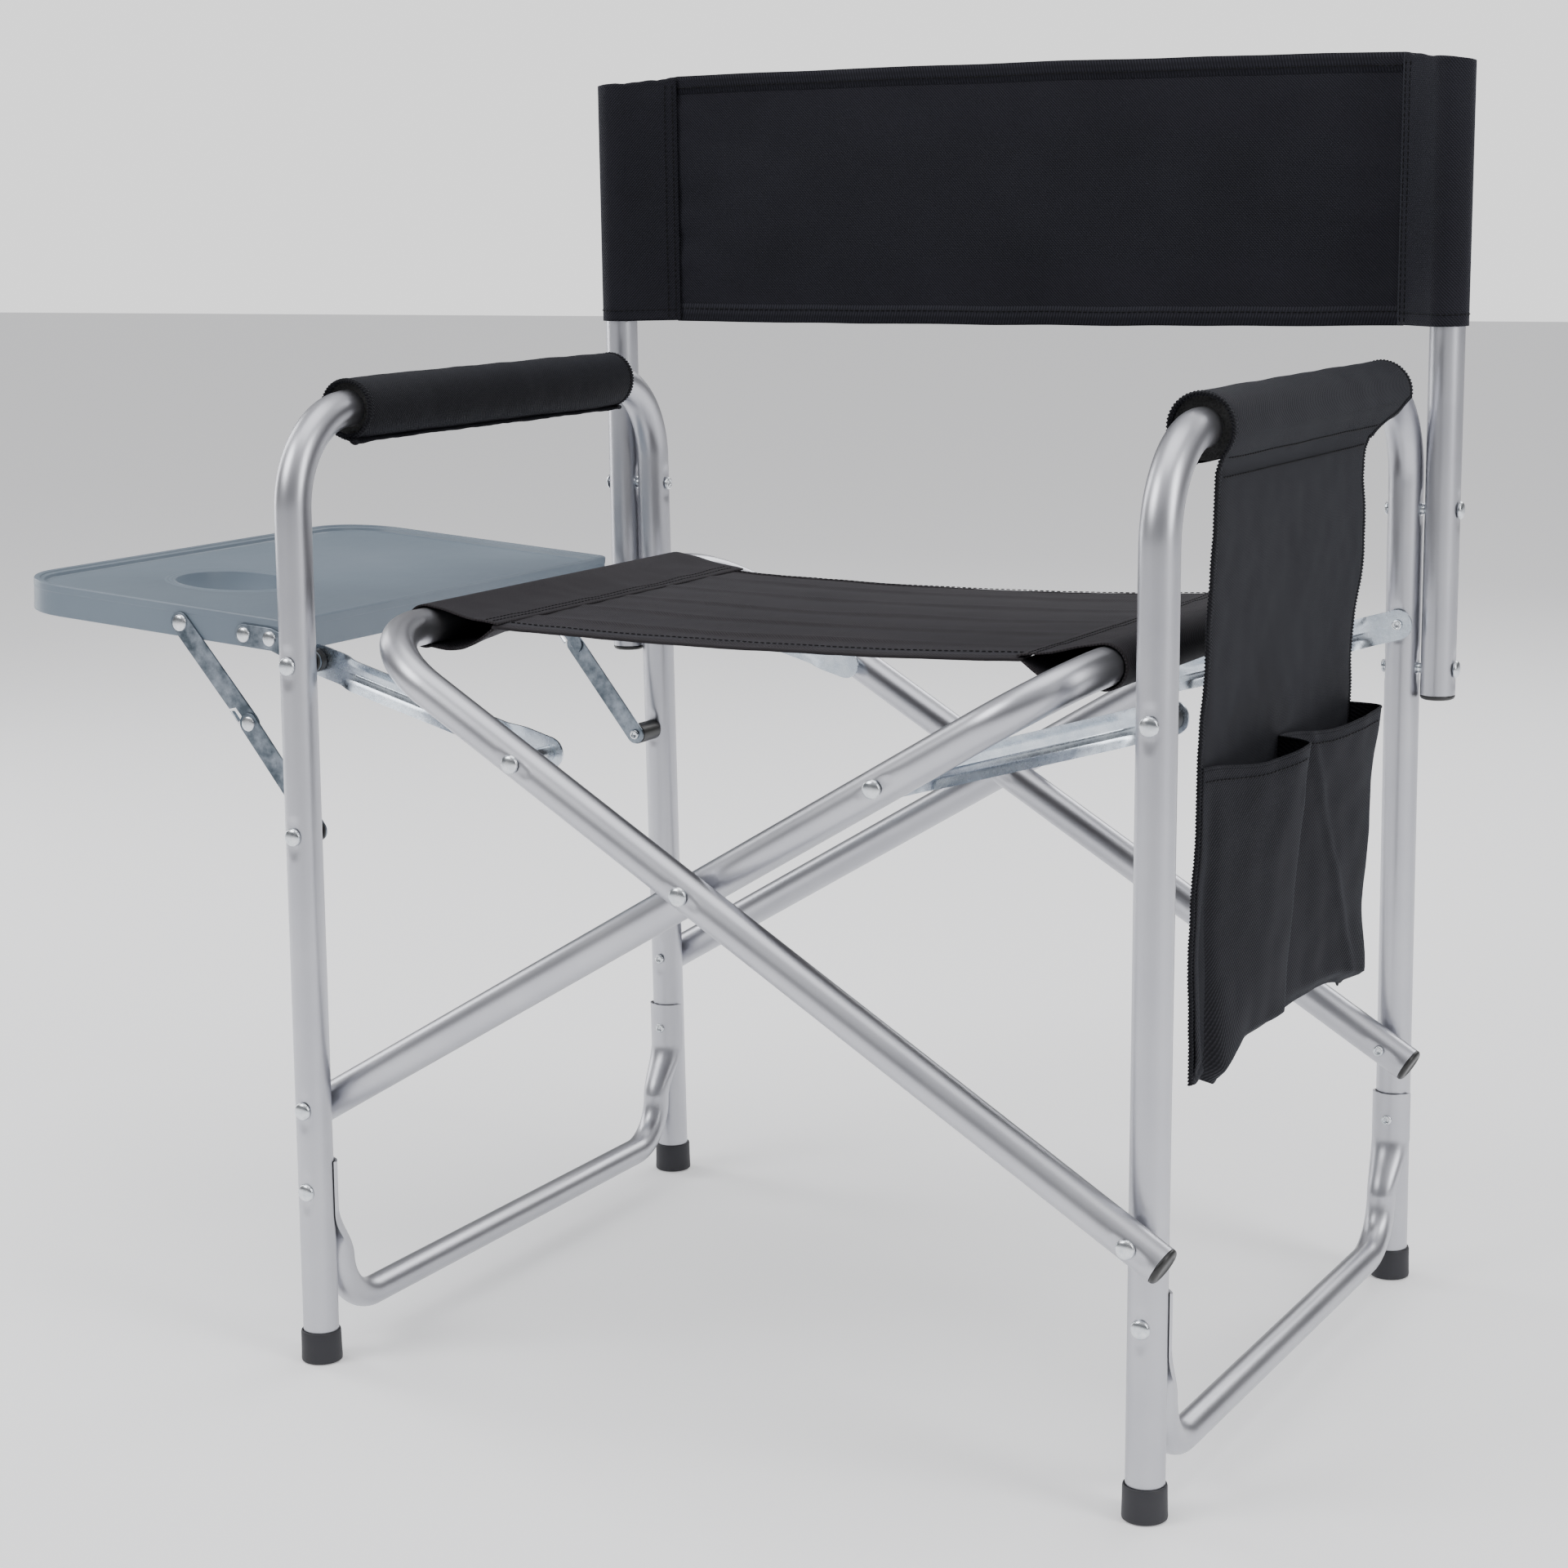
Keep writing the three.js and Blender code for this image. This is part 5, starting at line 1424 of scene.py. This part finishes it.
def pocket(name, end, bulge, body, crest):
    """A pocket sewn at its sides and foot. It stands out most near its rear side, where it folds back."""
    top_z, low_z, divider = 402.0, 238.0, -45.0
    width = 118.0 if end == FRONT else 133.0

    def section(t, grow):
        """Place across the pocket and how far it stands out, for t from 0 to 1."""
        if t < crest:
            share = t / crest
            return share * (0.90 - 0.02 * grow), grow * float(smoothstep(share * 0.9) ** 0.8)
        share = (t - crest) / (1 - crest)
        top = grow * float(smoothstep(0.9) ** 0.8)
        place = (0.90 - 0.02 * grow) + share * (0.10 + 0.02 * grow)
        return place, top * math.cos(math.pi / 2 * share ** 1.15)

    def surface(u, v, lift=0.0):
        z = low_z + (top_z - low_z) * v
        foot = float(smoothstep((z - low_z) / 9.0))
        grow = (0.55 + 0.45 * v) * (0.12 + 0.88 * foot)
        place, out = section(u, grow)
        y0 = edge_at(BAG_FRONT, z) + 0.6 if end == FRONT else divider + 1
        y1 = divider if end == FRONT else edge_at(BAG_REAR, z) - 0.6
        y = y0 + (y1 - y0) * place
        if end == REAR:
            y += 9.0 * out * float(smoothstep((u - 0.55) / 0.3))
        base = bag_x(z, min(max(y, -163), 88))
        crease = 0.8 * wave(y, z, 11, 30) * math.sin(math.pi * u)
        crease += 1.2 * wave(y * 2, z * 0.6, 2, 40) * math.sin(math.pi * u)
        dip = -5.0 * math.sin(math.pi * u) ** 2 * v ** 6
        low = 1 - float(smoothstep((z - low_z) / 45.0))
        tip = -137.0 if end == FRONT else 84.0
        hang = -low * (15.0 if end == FRONT else 8.0) * math.exp(-abs((y - tip) / 21.0) ** 1.5)
        valley = -5.0 * math.exp(-((y + 151) / 6.0) ** 2) * (1 - v) if end == FRONT else 0.0
        diagonal = 1.1 * math.exp(-((y - 30 + (z - 320) * 0.45) / 5.0) ** 2) if end == REAR else 0.0
        swell = low * 5.0 * math.exp(-((y - tip) / 20.0) ** 2) * foot
        return (base + 1.2 + out * bulge + crease + lift + valley + diagonal + swell, y, z + dip + hang)

    us = np.r_[np.linspace(0, crest, 50), np.linspace(crest, 1, 26)[1:]]
    flat = (width * 1.18, top_z - low_z)
    obj = cloth(f"{name}_cloth", surface, us, np.linspace(0, 1, 80), 0.9, POCKET_FABRIC, flat)
    finish_piece(obj, body, "bag_fabric")
    path = np.array([surface(u, 1.0) for u in np.linspace(0, 1, 120)])
    rings, flats, _ = sweep_rings(path, 0.85, 8)
    hem = loft(f"{name}_rim", rings, POCKET_FABRIC, flats=flats)
    finish_piece(hem, body, "bag_fabric")
    spots = [surface(u, 0.955, 0.7) for u in np.linspace(0.02, crest, 70)]
    stitch_row(f"{name}_rim_stitches", spots, [(1, 0, 0)] * 70, body)


# ---------------------------------------------------------------- assembly

place_camera()
build_stage()

ALUMINIUM = aluminium_material()
ZINC = zinc_material("bright_zinc", (0.70, 0.76, 0.82), (0.50, 0.56, 0.63), 0.20)
DARK_ZINC = zinc_material("dark_zinc", (0.30, 0.34, 0.39), (0.08, 0.10, 0.12), 0.28)
RIVET = rivet_material()
RUBBER = plastic_material("foot_rubber", (0.020, 0.020, 0.024), (0.034, 0.034, 0.040), 0.55, 1400, 0.25, 0.4)
BLACK_PLASTIC = plastic_material("black_plastic", grey(0.010), grey(0.018), 0.38, 1800, 0.12)
TABLE_PLASTIC = plastic_material("table_plastic", (0.135, 0.172, 0.214), (0.156, 0.195, 0.238),
                                 0.40, 2400, 0.16)
# The seat twill gets lighter colours than the upright back and organizer cloths: a painted top light on the
# seat copy of the fabric.
SEAT_FABRIC_TOP_LIT = fabric_material("seat_twill_painted_top_light", (0.006, 0.005, 0.006), (0.046, 0.040, 0.043))
BACK_FABRIC = fabric_material("back_twill", (0.003, 0.003, 0.0048), (0.025, 0.025, 0.034))
BAG_FABRIC = fabric_material("bag_cloth", (0.0025, 0.0025, 0.0035), (0.016, 0.016, 0.020), 0.0013)
POCKET_FABRIC = fabric_material("pocket_twill", (0.002, 0.002, 0.003), (0.020, 0.020, 0.025), 0.0018, -1.0)
THREAD = thread_material()
FOAM = foam_material()
SLOT_OF_THREAD = "back_fabric"

for side in SIDES:
    arm_frame(side)
    back_post(side)
    lower_rail(side)
    end_plug(f"{side}_post_cap", (SIDES[side] * POST_X, POST_Y, POST_BOTTOM_Z), (0, 0, -1), FRAME_OF[side],
             f"{side}_post_plug")
    post_bolts(side)
    for name in ENDS:
        foot(side, name)
        strut(side, name)
        rivet(f"{side}_{name}_strut_rivet", FRAME_OF[side])
        rivet(f"{side}_{name}_seat_rivet", FRAME_OF[side])
for which in "ab":
    seat_tube(which)
    for name in ENDS:
        rivet(f"seat_tube_{which}_{name}_strut_rivet", f"scissor_{which}")
for name in ENDS:
    rivet(f"{name}_crossing_rivet", "scissor_a")
    brace(name)
side_table()
for side in SIDES:
    seat_sleeve(side)
    back_sleeve(side)
    arm_pad(side)
seat_panel()
back_panel()
organizer()

for name, x, z, y0, y1, body in (
        ("left_front_strut_spacer", -HALF_W, STRUT_Z, -201.0, -199.3, "left_frame"),
        ("left_front_strut_spacer_inner", -HALF_W, STRUT_Z, -197.2, -192.4, "left_frame"),
        ("right_front_strut_spacer", HALF_W, STRUT_Z, -201.0, -192.4, "right_frame"),
        ("left_rear_strut_spacer", -HALF_W, STRUT_Z, 192.4, 201.0, "left_frame"),
        ("left_rear_strut_spacer_inner", -HALF_W, STRUT_Z, 177.6, 190.2, "left_frame"),
        ("front_brace_spacer", -HALF_W, BRACE_Z, -202.5, -200.9, "left_frame"),
        ("rear_brace_spacer", -HALF_W, BRACE_Z, 179.3, 202.5, "left_frame")):
    spacer(name, x, z, y0, y1, body)
for which, way in (("a", LEFT), ("b", RIGHT)):
    for name, end in ENDS.items():
        x = way * STRUT_X
        body = "left_struts" if way == LEFT else "right_struts"
        inner_face = seat_tube_y(which, end, x) - end * (TUBE_R + 0.3)
        plate = STRUT_Y if not (way == RIGHT and end == REAR) else RIGHT_REAR_STRUT_Y
        spacer(f"{body[:-1]}_{name}_tube_spacer", x, seat_tube_z(which, x), inner_face,
               end * (plate + 1.8), body, 4.4, True)
